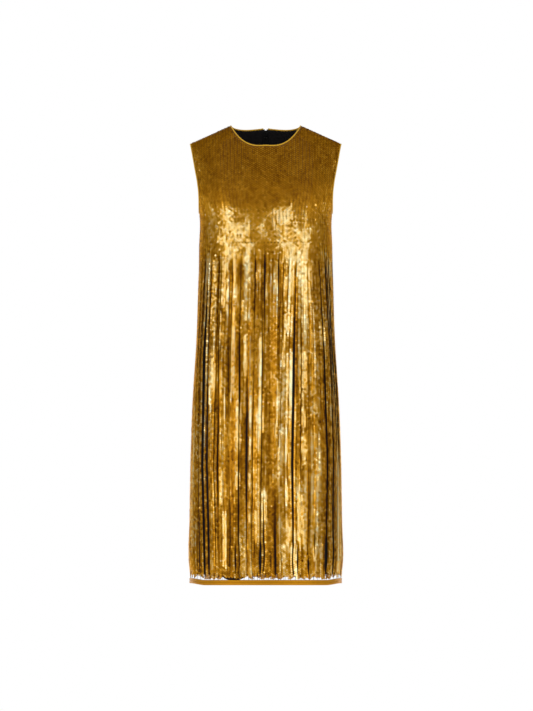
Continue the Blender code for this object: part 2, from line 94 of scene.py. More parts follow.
HOOK_AT = -0.0175
HOOK_IN = 0.0055
ZIP_FOOT = (ZIP_END - 0.008, ZIP_END - 0.002)

# The outline, level by level
BODY_COLUMNS = ("height", "half_width", "front_depth", "back_depth")
BODY = (
    (0.060, 0.1650, 0.096, 0.100),
    (-0.060, 0.1650, 0.100, 0.101),
    (-0.100, 0.1626, 0.105, 0.103),
    (-0.130, 0.1600, 0.108, 0.104),
    (-0.160, 0.1525, 0.110, 0.105),
    (-0.192, 0.1446, 0.112, 0.105),
    (-0.262, 0.1446, 0.113, 0.106),
    (-0.336, 0.1478, 0.113, 0.108),
    (-0.467, 0.1522, 0.114, 0.112),
    (-0.597, 0.1598, 0.117, 0.117),
    (-0.728, 0.1641, 0.120, 0.120),
    (-0.858, 0.1663, 0.123, 0.123),
    (-0.950, 0.1682, 0.125, 0.125),
    (-0.985, 0.1653, 0.124, 0.124),
    (-1.010, 0.1663, 0.125, 0.125),
)

# The armhole's edge: height, half width
ARMHOLE = (
    (-0.0385, 0.1625),
    (-0.066, 0.1578),
    (-0.093, 0.1530),
    (-0.119, 0.1480),
    (-0.145, 0.1448),
    (-0.165, 0.1441),
    (-0.192, 0.1446),
)

# Partings between strands, as in the solids: where they are across the dress at each level,
# their width at the top and below it
PARTING_LEVELS = (-0.270, -0.500, -0.740, -0.980)
PARTINGS = {
    FRONT: (
        (-0.121, -0.133, -0.137, -0.131, 0, 0.0050),
        (-0.006, -0.007, -0.010, -0.012, 0, 0.0025),
        (0.068, 0.061, 0.057, 0.061, 0, 0.0060),
        (0.114, 0.128, 0.135, 0.129, 0, 0.0050),
    ),
    BACK: (
        (-0.118, -0.129, -0.134, -0.128, 0, 0.0050),
        (-0.055, -0.063, -0.060, -0.066, 0, 0.0045),
        (0, 0, 0, 0, 0.0050, 0.0010),
        (0.071, 0.066, 0.073, 0.069, 0, 0.0055),
        (0.124, 0.131, 0.136, 0.133, 0, 0.0045),
    ),
}

# How much wider the front's outer partings are than the solids', over x
FRONT_PARTINGS = ((-0.13, -0.10, 0.10, 0.13), (2.1, 1, 1, 0.6))

# Where the sequins turn to catch more or less light, with a painted highlight in their tone where
# the gain is above 0 and painted shade in their tone where it is below 0: the first and last
# strand, counted from the wearer's right side seam, how far down it starts and ends in millimetres,
# and how much
STREAKS = {
    FRONT: (
        (30, 38, 183, 304, 1.0), (37, 39, 295, 601, 0.9), (30, 33, 299, 407, 0.9),
        (29, 30, 407, 489, 0.85), (22, 25, 295, 463, 0.6), (22, 26, 489, 601, 0.55),
        (30, 31, 523, 592, 0.7), (47, 48, 256, 347, 0.85), (48, 48, 368, 437, 0.6),
        (44, 44, 373, 420, 0.7), (45, 47, 463, 558, 0.9), (52, 55, 317, 360, 0.55),
        (55, 56, 463, 566, 0.85), (60, 65, 192, 243, 0.5), (62, 65, 291, 342, 0.55),
        (64, 65, 342, 381, 0.55), (66, 74, 183, 256, 1.0), (68, 75, 256, 299, 1.0),
        (69, 70, 299, 403, 0.85), (72, 73, 304, 403, 0.9), (70, 74, 403, 463, 1.0),
        (69, 70, 463, 532, 0.7), (72, 75, 498, 601, 0.85), (76, 83, 239, 334, 1.0),
        (80, 83, 334, 394, 0.9), (80, 82, 420, 454, 0.5), (79, 83, 498, 605, 0.85),
        (67, 68, 515, 549, 0.55), (94, 96, 433, 485, 0.4), (43, 49, 200, 248, 0.45),
        (9, 18, 62, 136, 0.55), (99, 106, 62, 136, 0.45), (23, 25, 590, 618, 0.5),
        (30, 31, 741, 831, 0.9), (32, 34, 842, 956, 0.9), (36, 37, 756, 831, 0.55),
        (41, 43, 605, 713, 0.9), (41, 43, 734, 795, 0.8), (49, 50, 605, 648, 0.8),
        (49, 50, 691, 730, 0.85), (49, 50, 756, 799, 0.75), (49, 50, 818, 881, 0.55),
        (54, 55, 625, 711, 0.9), (54, 55, 741, 831, 0.55), (53, 55, 831, 913, 0.85),
        (56, 57, 566, 678, 0.9), (57, 59, 806, 859, 0.8), (58, 59, 885, 967, 0.5),
        (65, 66, 646, 685, 0.8), (65, 65, 706, 831, 0.55), (67, 68, 698, 788, 0.55),
        (72, 74, 601, 666, 1.0), (72, 73, 666, 730, 0.85), (72, 73, 778, 825, 0.8),
        (72, 74, 864, 913, 0.6), (75, 77, 913, 980, 1.0), (80, 82, 612, 670, 0.8),
        (80, 83, 674, 719, 1.0), (81, 82, 719, 743, 0.8), (78, 81, 806, 922, 0.85),
        (46, 46, 885, 967, 0.5), (14, 16, 644, 816, 0.35), (99, 101, 644, 946, 0.3),
        (88, 89, 913, 958, 0.45), (68, 71, 902, 967, 0.45), (15, 17, 181, 299, -0.4),
        (35, 36, 429, 601, -0.6), (39, 43, 282, 347, -0.5), (42, 44, 472, 601, -0.5),
        (66, 67, 351, 558, -0.8), (75, 77, 304, 601, -0.8), (94, 99, 286, 429, -0.4),
        (27, 29, 590, 881, -0.6), (47, 48, 590, 831, -0.6), (52, 53, 816, 946, -0.45),
        (77, 79, 601, 790, -0.5), (44, 46, 601, 816, -0.25), (100, 116, 270, 975, 0.25),
    ),
    BACK: (
        (30, 38, 180, 330, 0.9), (74, 83, 190, 350, 0.9), (44, 50, 200, 270, 0.4),
        (62, 67, 200, 290, 0.45),
    ),
}

# Narrow gaps that open between two strands: the strand after the gap, how far down it starts and
# ends in millimetres, and its width in tenths of a millimetre
GAPS = {
    FRONT: (
        (67, 351, 566, 14), (48, 590, 831, 12), (41, 902, 984, 44), (57, 902, 986, 40),
        (63, 920, 975, 20), (78, 913, 984, 34), (85, 936, 984, 38), (89, 868, 940, 26),
        (97, 890, 978, 40), (36, 433, 644, 16), (43, 450, 644, 14), (29, 601, 859, 18),
        (86, 386, 515, 12), (14, 752, 946, 20), (53, 816, 946, 16), (103, 687, 902, 18),
    ),
    BACK: (
        (26, 520, 780, 18), (36, 890, 985, 42), (48, 380, 640, 16), (52, 915, 985, 36),
        (67, 900, 985, 40), (71, 420, 690, 16), (88, 640, 900, 20), (96, 880, 980, 36),
        (14, 700, 930, 20),
    ),
}

# How many strands hang together in a group, and the share of turned sequins on each side
GROUP_SIZES = (2, 3, 4, 5, 5, 6, 8)
SCATTER = {FRONT: 0.55, BACK: 0.9}

# Grid of levels and strands on which the strands' small differences are held
FIELD_TOP = 0.030
FIELD_STEP = 0.005
FIELD_ROWS = 206

# The bearing of a sequin that mirrors a side light, and how dull ones lean out of that light.
# Past SIDE_BEARING a sequin keeps its own, and none turns further than MOST_TURN
BRIGHT_BEARING = 17
DULL_BEARINGS = ((0, 27, 28, 45, 90), (0, 4, 29, 45, 90))
CENTRE_BEARING = 7
SIDE_BEARING = 52
MOST_TURN = 28

# Painted highlight: how much paler a sequin is that turns to the light by itself; and, where the
# relief is 1, the painted highlight at its hole and the painted shade at its rim
PAINTED_HIGHLIGHT_OF_FACING = 0.45
PAINTED_HIGHLIGHT_AT_HOLE = 0.24
PAINTED_SHADE_AT_RIM = -0.26

# The four golds are lit and shaded copies of one gold: painted shade, the sequins' deep gold, a
# painted lit gold and a painted highlight; and the tones at which they are reached
GOLDS = ("Shaded", "Deep", "Gold", "Pale")
TONE_STOPS = (0.0, 0.33, 0.66, 1.0)

FACETS = 8
CELL_WIDTH = 2.3  # of a sequin's cell in the bake map, in radii
SEQUIN_OUT = 0.0003  # in front of the cloth
SECOND_IN = 0.0005  # how much further in every second strand lies
EDGE_CLEAR = 0.0012  # from the neck and the armholes
SHOULDER_CLEAR = 0.00005
BELOW_NECK = -0.09
BELOW_UNDERARM = UNDERARM - 0.003
STRAND_STEP = 0.00405  # from one strand to the next
GAP_SHOWS = 1.35  # how much wider a gap is than its row says
RUN_ON = 0.0025  # how far the last sequins hang past the strands' ends
RAGGED = 0.0028  # half of what the ends differ by
THREAD_IN = 0.0012  # behind the sequins
THREAD_HALF = 0.0007
TIE_IN = 0.0006  # the ties from the threads to the hem band
TIE_HALF = 0.0003

# Half a yoke panel's grid, finer than the solids', and the slip's levels below it
FINER = 4
COLUMNS = 9 * FINER
NECK_COLUMNS = 3 * FINER
ROWS_LOW = 2 * FINER
SOLID_SHARES = (0, 0.12, 0.24, 0.36, 0.48, 0.60, 0.72, 0.84, 0.95, 1)
ROWS_HIGH = (len(SOLID_SHARES) - 1) * FINER
HIGH_SHARES = np.interp(np.arange(ROWS_HIGH + 1) / FINER, range(len(SOLID_SHARES)), SOLID_SHARES)
ROWS_NECK = 4 * FINER
NECK_CROWD = 1.6
NECK_TURN = math.radians(50)
SLIP_LOW = (-0.94, -0.90, -0.85, -0.78, -0.71, -0.64, -0.57)
SLIP_HIGH = (-0.43, -0.36, -0.30, -0.28, -0.266)
SLIP_LEVELS = {FRONT: (*SLIP_LOW, -0.50, *SLIP_HIGH), BACK: (*SLIP_LOW, *ZIP_FOOT, *SLIP_HIGH)}

# How far the piping lies outside the middle of the walls that it covers, where the neck's starts
# beside the zip, and what it lies around
ARMHOLE_OUT = 0.0012
NECK_OUT = 0.0005
PIPING_STARTS = ZIP_HALF + 0.003
NECK_MIDDLE = (0, 0, -0.02)
ARM_MIDDLE = 0.155

LIGHT_AWAY = 2.6
LIGHT_HIGH = -0.35
LIGHT_SIZE = (0.7, 2.2)
SENSOR = 36
CAMERA_AWAY = 12.0
CAMERA_HIGH = -1.0
PHOTO_HIGH = 711 * 0.002174  # what the photo's height covers at the dress, in metres
PHOTO_MIDDLE = (0.0017, 0, -0.5005)
FLOOR_HIGH = -1.45
FLOOR_HALF = 150


# The dress's form

def level(height, column):
    """A column of BODY at any height, as a smooth curve through its rows."""
    table = np.array(BODY)[::-1]
    heights, values = table[:, 0], table[:, BODY_COLUMNS.index(column)]
    slopes = np.gradient(values, heights)
    height = np.clip(np.asarray(height, float), heights[0], heights[-1])
    row = np.clip(np.searchsorted(heights, height) - 1, 0, len(heights) - 2)
    step = heights[row + 1] - heights[row]
    t = (height - heights[row]) / step
    return (
        values[row] * (1 + 2 * t) * (1 - t) ** 2
        + slopes[row] * step * t * (1 - t) ** 2
        + values[row + 1] * t * t * (3 - 2 * t)
        + slopes[row + 1] * step * t * t * (t - 1)
    )


def ridge(x):
    """Height of the shoulder seam, and of its run on towards the neck."""
    slope = -SHOULDER_TIP[1] / (SHOULDER_TIP[0] - NECK_HALF)
    inside = NECK_HALF - np.abs(x)
    return np.where(inside > 0, slope * inside * (1 - 0.4 * inside / NECK_HALF), slope * inside)


def outline(side, angle, height):
    """Point of the dress's outer form; the angle is 0 at centre, pi/2 at the side seam."""
    sine, cosine = np.sin(angle), np.clip(np.cos(angle), 0, None)
    x = level(height, "half_width") * np.sign(sine) * np.abs(sine) ** (2 / RING_POWER)
    depth = level(height, DEPTHS[side])
    drop = np.clip((ridge(x) - height) / SHOULDER_ROUND, 0, 1)
    rounding = (1 - (1 - drop) ** SHOULDER_POWER) ** (1 / SHOULDER_POWER)
    y = side * depth * rounding * cosine ** (2 / RING_POWER)
    return np.stack([x, y, height + 0 * x], axis=-1)


def outward(side, angle, height):
    """Unit normal of the outer form."""
    turn, rise = math.radians(1.0), 0.001
    x = outline(side, angle, height)[..., 0]
    top = np.minimum(height + rise, ridge(x))
    low_angle = np.maximum(angle - turn, -math.pi / 2)
    high_angle = np.minimum(angle + turn, math.pi / 2)
    across = outline(side, high_angle, height) - outline(side, low_angle, height)
    up = outline(side, angle, top) - outline(side, angle, top - 2 * rise)
    normal = -side * np.cross(across, up)
    return normal / np.linalg.norm(normal, axis=-1, keepdims=True)


def inset_point(side, angle, height, inset):
    """Point under the outer form, kept clear of the side and shoulder seams."""
    depth = np.asarray(inset)[..., None]
    point = outline(side, angle, height) - depth * outward(side, angle, height)
    point[..., 1] = side * np.maximum(side * point[..., 1], SEAM_SHOWS)
    return point


def angle_at(x, height):
    share = np.clip(np.abs(x) / level(height, "half_width"), 0, 1)
    return np.sign(x) * np.arcsin(share ** (RING_POWER / 2))


def armhole_width(height):
    rows = np.array(ARMHOLE)[::-1]
    return np.interp(height, rows[:, 0], rows[:, 1])


def neck_edge(side, turn):
    """Angle and height of the neck edge; the turn is 0 at centre, pi/2 at the shoulder seam."""
    x = NECK_HALF * math.sin(turn) ** (2 / NECK_POWER)
    y = NECK_REACH[side] * max(math.cos(turn), 0) ** (2 / NECK_POWER)
    height = 0.0
    for _ in range(12):
        flat = (1 - (x / level(height, "half_width")) ** RING_POWER) ** (1 / RING_POWER)
        depth = level(height, DEPTHS[side])
        rounding = y / (depth * flat)
        drop = 1 - (1 - rounding**SHOULDER_POWER) ** (1 / SHOULDER_POWER)
        height = float(ridge(x)) - SHOULDER_ROUND * drop
    return np.array([float(angle_at(x, height)), height])


def armhole_edge(share):
    """Angle and height of the armhole's edge; the share is 0 at the underarm, 1 at the tip."""
    height = UNDERARM + (SHOULDER_TIP[1] - UNDERARM) * (1 - math.cos(math.pi * share)) / 2
    return np.array([float(angle_at(armhole_width(height), height)), height])


def shoulder_edge(share):
    """Angle and height of the shoulder seam, from the neck to the tip."""
    x = NECK_HALF + (SHOULDER_TIP[0] - NECK_HALF) * share
    return np.array([float(angle_at(x, float(ridge(x)))), float(ridge(x))])


def half_yoke(side):
    """Angles and heights of half a panel above the fringe; the neck's hollow is NaN."""
    grid = np.full((ROWS_LOW + ROWS_HIGH + 1, COLUMNS + 1, 2), np.nan)
    for column in range(COLUMNS + 1):
        foot = math.pi / 2 * column / COLUMNS
        for row in range(ROWS_LOW + 1):
            grid[row, column] = foot, YOKE_BOTTOM + (UNDERARM - YOKE_BOTTOM) * row / ROWS_LOW
    turns = [NECK_TURN * c / NECK_COLUMNS for c in range(NECK_COLUMNS + 1)]
    for column, turn in enumerate(turns):
        foot, head = grid[ROWS_LOW, column], neck_edge(side, turn)
        for row in range(1, ROWS_NECK + 1):
            rise = 1 - (1 - row / ROWS_NECK) ** NECK_CROWD
            grid[ROWS_LOW + row, column] = foot + (head - foot) * rise
    for row in range(ROWS_NECK + 1, ROWS_HIGH + 1):
        share = (HIGH_SHARES[row] - HIGH_SHARES[ROWS_NECK]) / (1 - HIGH_SHARES[ROWS_NECK])
        turn = NECK_TURN + (math.pi / 2 - NECK_TURN) * share
        grid[ROWS_LOW + row, NECK_COLUMNS] = neck_edge(side, turn)
    for row in range(1, ROWS_HIGH + 1):
        grid[ROWS_LOW + row, COLUMNS] = armhole_edge(HIGH_SHARES[row])
    fill_strap(grid[ROWS_LOW:, NECK_COLUMNS:])
    return grid


def fill_strap(grid):
    """Fills a grid between its first and last columns, on the shoulder seam at its top row."""
    rows, columns = grid.shape[0] - 1, grid.shape[1] - 1
    heads = [shoulder_edge(column / columns) for column in range(columns + 1)]
    for row in range(1, rows + 1):
        share = HIGH_SHARES[row]
        bend = [
            grid[row, end] - grid[0, end] * (1 - share) - heads[end] * share for end in (0, columns)
        ]
        for column in range(1, columns):
            straight = grid[0, column] * (1 - share) + heads[column] * share
            across = column / columns
            grid[row, column] = straight + bend[0] * (1 - across) + bend[1] * across


def whole(half):
    mirrored = half[:, :0:-1] * np.array([-1, 1])
    return np.concatenate([mirrored, half], axis=1)


def centre_gap(height):
    """Distance from the centre-back line to a panel's edge, beside the zip and below it."""
    return np.interp(height, ZIP_FOOT, (SEAM_HALF / 2, ZIP_HALF + SEAM_HALF))


def panels(halves):
    """Name, side, grid and hands of the front panel and of the back's two halves."""
    yield "front", FRONT, whole(halves[FRONT]), (RIGHT, LEFT)
    for hand in (LEFT, RIGHT):
        yield f"back_{WORDS[hand]}", BACK, back_half(halves[BACK], hand), (hand,)


def back_half(grid, hand):
    half = grid * np.array([hand, 1])
    half[:, 0, 0] = hand * angle_at(centre_gap(half[:, 0, 1]), half[:, 0, 1])
    return half


def panel_points(side, grid, inset):
    """Points of a grid of angles and heights, with columns running so that faces look out."""
    points = np.full((*grid.shape[:2], 3), np.nan)
    known = ~np.isnan(grid[..., 0])
    depth = np.broadcast_to(inset, grid.shape[:2])[known]
    points[known] = inset_point(side, grid[known][:, 0], grid[known][:, 1], depth)
    looks_out = side * np.sign(grid[0, -1, 0] - grid[0, 0, 0]) < 0
    return points if looks_out else points[:, ::-1]


def run_along(points):
    """How far along a line of points each of them is."""
    return np.concatenate([[0], np.cumsum(np.linalg.norm(np.diff(points, axis=0), axis=1))])


def half_ring(side, height):
    """Evenly spaced angles, the share of the way round half the dress at each, its length."""
    angles = np.linspace(-math.pi / 2, math.pi / 2, 361)
    run = run_along(outline(side, angles, np.full(361, height)))
    return angles, run / run[-1], run[-1]


def parted(side, shares, height):
    """Shares of the way round, after the strands have drawn aside at the partings."""
    angles, run, length = half_ring(side, height)
    rest_angles, rest_run, _ = half_ring(side, PARTING_LEVELS[1])
    level_clip = np.clip(height, PARTING_LEVELS[-1], PARTING_LEVELS[0])
    held, moved = [0.0], [0.0]
    for *across, top_width, width in PARTINGS[side]:
        x = np.interp(-level_clip, -np.array(PARTING_LEVELS), across)
        widths = (0.6 * width, width, width, top_width)
        ends = (SEQUINS_END, *PARTING_LEVELS[2:0:-1], YOKE_BOTTOM)
        opening = np.interp(height, ends, widths) / length
        opening *= np.interp(across[1], *FRONT_PARTINGS) if side == FRONT else 1
        centre = np.interp(angle_at(x, height), angles, run)
        rest = np.interp(angle_at(across[1], PARTING_LEVELS[1]), rest_angles, rest_run)
        rest = round(rest * STRANDS) / STRANDS
        held += [rest - 1e-6, rest + 1e-6]
        moved += [centre - opening / 2, centre + opening / 2]
    return np.interp(shares, held + [1.0], moved + [1.0])


def hem_lift(x):
    start, end, lift = HEM_LIFT
    t = np.clip((np.abs(x) - start) / (end - start), 0, 1)
    return lift * t * t * (3 - 2 * t)


def drawn_in(height):
    """How much of the hem's lift the strands follow at a height."""
    return np.clip((-0.9 - height) / 0.08, 0, 1)


def ramp(values, start, end):
    """0 at the start and before, 1 at the end and after, with a soft step between."""
    t = np.clip((values - start) / (end - start), 0, 1)
    return t * t * (3 - 2 * t)


def blurred(rng, columns, along, across=0):
    """Random values on the field grid, smooth along and across the strands, with a spread of 1."""
    values = rng.normal(size=(FIELD_ROWS, columns))
    for axis, width in ((0, along), (1, across)):
        if width:
            steps = np.arange(-round(3 * width), round(3 * width) + 1)
            kernel = np.exp(-0.5 * (steps / width) ** 2)
            values = np.apply_along_axis(np.convolve, axis, values, kernel, "same")
    return values / values.std()


def placed_streaks(side, heights, wobble, hung):
    """The gain of STREAKS on the field grid: ragged on the strands, soft patches above them."""
    placed = np.zeros((FIELD_ROWS, STRANDS))
    strands = np.arange(STRANDS)
    for first, last, *ends, gain in STREAKS[side]:
        top, bottom = (-end / 1000 for end in ends)
        inside = (strands >= first) & (strands <= last)
        reach = np.minimum(top - heights, heights - bottom) + 0.006 * wobble
        strength = gain * inside * ramp(reach, -0.006, 0.008)
        placed = np.where(np.abs(strength) > np.abs(placed), strength, placed)
    soft = placed
    for axis, width in ((1, 3.2), (0, 2.0)):
        kernel = np.exp(-0.5 * (np.arange(-9, 10) / width) ** 2)
        soft = np.apply_along_axis(np.convolve, axis, soft, kernel / kernel.sum(), "same")
    return soft + (placed - soft) * hung


def gap_shift(side, heights):
    """How far the strands beside each gap of GAPS have moved aside, in metres."""
    shift = np.zeros((FIELD_ROWS, STRANDS))
    for after, *ends, width in GAPS[side]:
        top, bottom = (-end / 1000 for end in ends)
        along = np.clip((top - heights) / (top - bottom), 0, 1)
        opening = GAP_SHOWS * (width / 10000) * np.clip(np.sin(math.pi * along), 0, 1) ** 0.6
        away = np.arange(STRANDS) - after + 0.5
        shift += 0.5 * opening * np.sign(away) * np.exp(-np.abs(away) / 5)
    return shift


def cloth_fields(side):
    """How the strands of a side group, turn, sink and shine, with painted light in their tone, on
    the field grid.
    """
    rng = np.random.default_rng(40 + side)
    heights = FIELD_TOP - FIELD_STEP * np.arange(FIELD_ROWS)[:, None]
    strands = np.arange(STRANDS)
    hung = ramp(-heights, -YOKE_BOTTOM, -YOKE_BOTTOM + 0.06)
    cuts = np.cumsum(rng.choice(GROUP_SIZES, STRANDS))
    cuts = cuts[cuts < STRANDS - 1]
    group = np.searchsorted(cuts, strands, side="right")
    starts, ends = np.array([0, *cuts]), np.array([*cuts, STRANDS])
    half = (ends - starts)[group] / 2
    across = (strands + 0.5 - (ends + starts)[group] / 2) / half
    by_group = (blurred(rng, len(starts), along)[:, group] for along in (22, 30, 26, 24))
    of_group, sunk, leaning, drawn = by_group
    drawn = 0.5 + 0.5 * np.tanh(drawn)
    of_strand, quick, sway = (blurred(rng, STRANDS, along) for along in (14, 4, 16))
    patches = blurred(rng, STRANDS, 1.6, 1.3)
    # How far the sequins turn to the light: in the placed streaks, in scattered ones, in a glow
    placed = placed_streaks(side, heights, of_strand, hung)
    outer = ramp(np.abs(strands - (STRANDS - 1) / 2), 30, 42)
    glint = 0.45 * of_group + 0.65 * of_strand + 0.45 * quick
    fewer = 1 - 0.4 * ramp(-heights, 0.6, 0.8)
    scattered = ramp(glint, 0.8, 1.8) * hung * SCATTER[side] * fewer
    # Painted light low on the yoke, under the bust: more sequins turn to the light there and their
    # tone is lighter
    painted_light_low = ramp(-heights, 0.165, 0.205) * (1 - outer)
    glow = 0.30 * painted_light_low * np.clip(patches, 0, 1.2) * (1 - 0.6 * ramp(-heights, 0.32, 0.45))
    mottle = 0.92 + 0.10 * quick * hung + 0.18 * patches * (1 - hung)
    facing = np.clip(np.maximum(placed, 0) * mottle + scattered + glow, 0, 1)
    facing *= 1 + np.minimum(placed, 0)
    # The tone, with painted light: a lighter tone of painted light low on the yoke, a painted
    # highlight where sequins are turned, painted shade in the dark streaks and at the edges of a
    # group, a painted sheen at the sides and a tone that grows lighter from the front's 45th strand
    # to its 85th; random tone besides
    tone_and_painted_light = 0.355 + (0.15 - 0.10 * hung) * painted_light_low + 0.01 * hung
    tone_and_painted_light = tone_and_painted_light + (0.46 + 0.06 * hung) * facing + 0.30 * np.minimum(placed, 0)
    painted_shade_at_group_edge = 0.30 * drawn * np.abs(across) ** 3
    tone_and_painted_light += hung * (0.12 * of_strand + 0.08 * of_group + 0.05 * quick - painted_shade_at_group_edge)
    tone_and_painted_light += 0.030 * (1 + hung) * patches
    sides = outer * ramp(-heights, 0.10, 0.20)
    tone_and_painted_light += 0.15 * sides + (0.05 * hung * ramp(strands, 45, 85) if side == FRONT else 0)
    # How the strands shift and sink
    hem = 1 - 0.7 * ramp(-heights, 0.945, 0.984)
    shift = -across * half * STRAND_STEP * 0.31 * drawn**1.5 + 0.0003 * sway
    shift = shift + gap_shift(side, heights)
    return {
        "facing": facing,
        "tone_and_painted_light": tone_and_painted_light,
        "turn": hung * (math.radians(6) * leaning + math.radians(8) * across),
        "shift": hung * hem * shift,
        "depth": hung * (0.0012 + 0.0009 * np.tanh(sunk) + 0.0009 * across**2),
        "sparkle": 0.03 * painted_light_low * (1 - hung) + 0.006 * hung,
        "grain": 0.06 + 0.075 * np.maximum(hung, 0.5 * facing) + 0.05 * sides,
        "loose": hung + 0 * strands,
        "lead": np.where(np.sin(7.3 * group + side) > 0, 1.0, -1.0) + 0 * heights,
    }


def on_field(field, heights, strands):
    """A field's values for some strands at some heights, or at one."""
    rows = np.round((FIELD_TOP - np.asarray(heights)) / FIELD_STEP)
    return field[np.clip(rows, 0, FIELD_ROWS - 1).astype(int), strands]


# Meshes and materials

def finish_piece(piece, slot, *nodes, body=DRESS):
    """Puts a finished piece on its body, in the place of the solids that it stands for."""
    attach(piece, body)
    if nodes:
        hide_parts(*nodes)
    return piece


def new_piece(name, bm, material, smooth=True):
    mesh = bpy.data.meshes.new(name)
    bm.to_mesh(mesh)
    bm.free()
    if smooth:
        mesh.shade_smooth()
    return link_piece(name, mesh, material)


def link_piece(name, data, material):
    piece = bpy.data.objects.new(name, data)
    data.materials.append(material)
    bpy.context.scene.collection.objects.link(piece)
    return piece


def grid_mesh(points, closed=False):
    """A bmesh grid laid on an array of points, without the cells in the neck's hollow."""
    rows, columns = points.shape[:2]
    bm = bmesh.new()
    bmesh.ops.create_grid(bm, x_segments=columns - 1, y_segments=rows - 1, size=1)
    lost = []
    for vert in bm.verts:
        column = round((vert.co.x + 1) / 2 * (columns - 1))
        row = round((vert.co.y + 1) / 2 * (rows - 1))
        if np.isnan(points[row, column, 0]):
            lost.append(vert)
        else:
            vert.co = points[row, column]
    bmesh.ops.delete(bm, geom=lost, context="VERTS")
    if closed:
        bmesh.ops.remove_doubles(bm, verts=bm.verts, dist=1e-6)
    return bm


def cloth_sheet(name, points, wall, material, closed=False):
    """A sheet of cloth with its outer face on the points, and its wall turned inwards."""
    piece = new_piece(name, grid_mesh(points, closed), material)
    shell = piece.modifiers.new("Wall", "SOLIDIFY")
    shell.thickness = wall
    shell.offset = -1
    return piece


def declare_cloth(points):
    """Works out a sheet's widest row and longest column, and keeps neither."""
    width, length = (
        float(np.nanmax(np.nansum(np.linalg.norm(np.diff(points, axis=axis), axis=-1), axis=axis)))
        for axis in (1, 0)
    )


def feed(tree, socket, value):
    """Gives a socket its value, or links it to the socket that the value is."""
    if isinstance(value, bpy.types.NodeSocket):
        tree.links.new(value, socket)
    else:
        socket.default_value = value


def node(tree, kind, at, group=None, **inputs):
    """A node with some inputs fed, in whose names an underscore stands for a space."""
    made = tree.nodes.new(kind)
    made.location = at
    if group:
        made.node_tree = group
    for name, value in inputs.items():
        feed(tree, made.inputs[name.replace("_", " ")], value)
    return made


def maths(tree, operation, at, first, second):
    made = node(tree, "ShaderNodeMath", at)
    made.operation = operation
    feed(tree, made.inputs[0], first)
    feed(tree, made.inputs[1], second)
    return made.outputs[0]


def mix_colours(tree, at, factor, first, second):
    made = node(tree, "ShaderNodeMix", at)
    made.data_type = "RGBA"
    for index, value in ((0, factor), (6, first), (7, second)):
        feed(tree, made.inputs[index], value)
    return made.outputs[2]


def speckle(tree, at, scale, detail):
    """Fine noise in object space, from 0 to 1."""
    coords = node(tree, "ShaderNodeTexCoord", (at[0] - 250, at[1]))
    fed = {"Vector": coords.outputs["Object"], "Scale": scale, "Detail": detail}
    return node(tree, "ShaderNodeTexNoise", at, **fed).outputs["Fac"]


def new_group(name, inputs, outputs):
    """A shader node group with its named sockets: (name, socket type, default)."""
    tree = bpy.data.node_groups.new(name, "ShaderNodeTree")
    for title, kind, default in inputs:
        tree.interface.new_socket(title, in_out="INPUT", socket_type=kind).default_value = default
    for title, kind in outputs:
        tree.interface.new_socket(title, in_out="OUTPUT", socket_type=kind)
    return tree, node(tree, "NodeGroupInput", (-900, 0)), node(tree, "NodeGroupOutput", (600, 0))


def sequin_group():
    """Colour and roughness of a sequin from its tone, which carries painted shade, painted light
    and painted highlights as well as random tone.
    """
    name = "sequin_finish"
    if name in bpy.data.node_groups:
        return bpy.data.node_groups[name]
    colour, number = "NodeSocketColor", "NodeSocketFloat"
    inputs = [(title, colour, (0.6, 0.3, 0.05, 1)) for title in GOLDS]
    inputs.append(("Roughness", number, 0.25))
    tree, enter, leave = new_group(name, inputs, [("Colour", colour), ("Roughness", number)])
    tone_and_painted_light = node(tree, "ShaderNodeAttribute", (-900, 300))
    tone_and_painted_light.attribute_name = "tone_and_painted_light"
    lit = enter.outputs[GOLDS[0]]
    for step, title in enumerate(GOLDS[1:]):
        stops = {"From_Min": TONE_STOPS[step], "From_Max": TONE_STOPS[step + 1]}
        at = (-650, 300 - 150 * step)
        share = node(tree, "ShaderNodeMapRange", at, Value=tone_and_painted_light.outputs["Fac"], **stops)
        at = (-400 + 200 * step, 300)
        lit = mix_colours(tree, at, share.outputs["Result"], lit, enter.outputs[title])
    spread = maths(tree, "MULTIPLY", (-400, -300), speckle(tree, (-650, -300), 900.0, 2.0), 0.06)
    feed(tree, leave.inputs["Colour"], lit)
    rough = maths(tree, "ADD", (-200, -300), spread, enter.outputs["Roughness"])
    feed(tree, leave.inputs["Roughness"], rough)
    return tree


def weave_group():
    """Fine crossed threads: a height for bump and a mask of the dips between them."""
    name = "cloth_weave"
    if name in bpy.data.node_groups:
        return bpy.data.node_groups[name]
    number = "NodeSocketFloat"
    tree, enter, leave = new_group(
        name, [("Threads", number, 1500.0)], [("Height", number), ("Dips", number)]
    )
    coords = node(tree, "ShaderNodeTexCoord", (-900, -200))
    waves = []
    for direction, at in (("X", -100), ("Z", -400)):
        fed = {"Vector": coords.outputs["Object"], "Scale": enter.outputs["Threads"]}
        wave = node(tree, "ShaderNodeTexWave", (-600, at), Distortion=1.2, Detail=1.0, **fed)
        wave.bands_direction = direction
        waves.append(wave.outputs["Fac"])
    both = maths(tree, "MULTIPLY", (-300, -200), *waves)
    feed(tree, leave.inputs["Height"], both)
    feed(tree, leave.inputs["Dips"], maths(tree, "SUBTRACT", (-100, -350), 1.0, both))
    return tree


def new_material(name, **inputs):
    """A Principled material with some inputs given, and the tree and shader to build on."""
    material = bpy.data.materials.new(name)
    material.use_nodes = True
    shader = material.node_tree.nodes["Principled BSDF"]
    for title, value in inputs.items():
        shader.inputs[title.replace("_", " ")].default_value = value
    return material, material.node_tree, shader


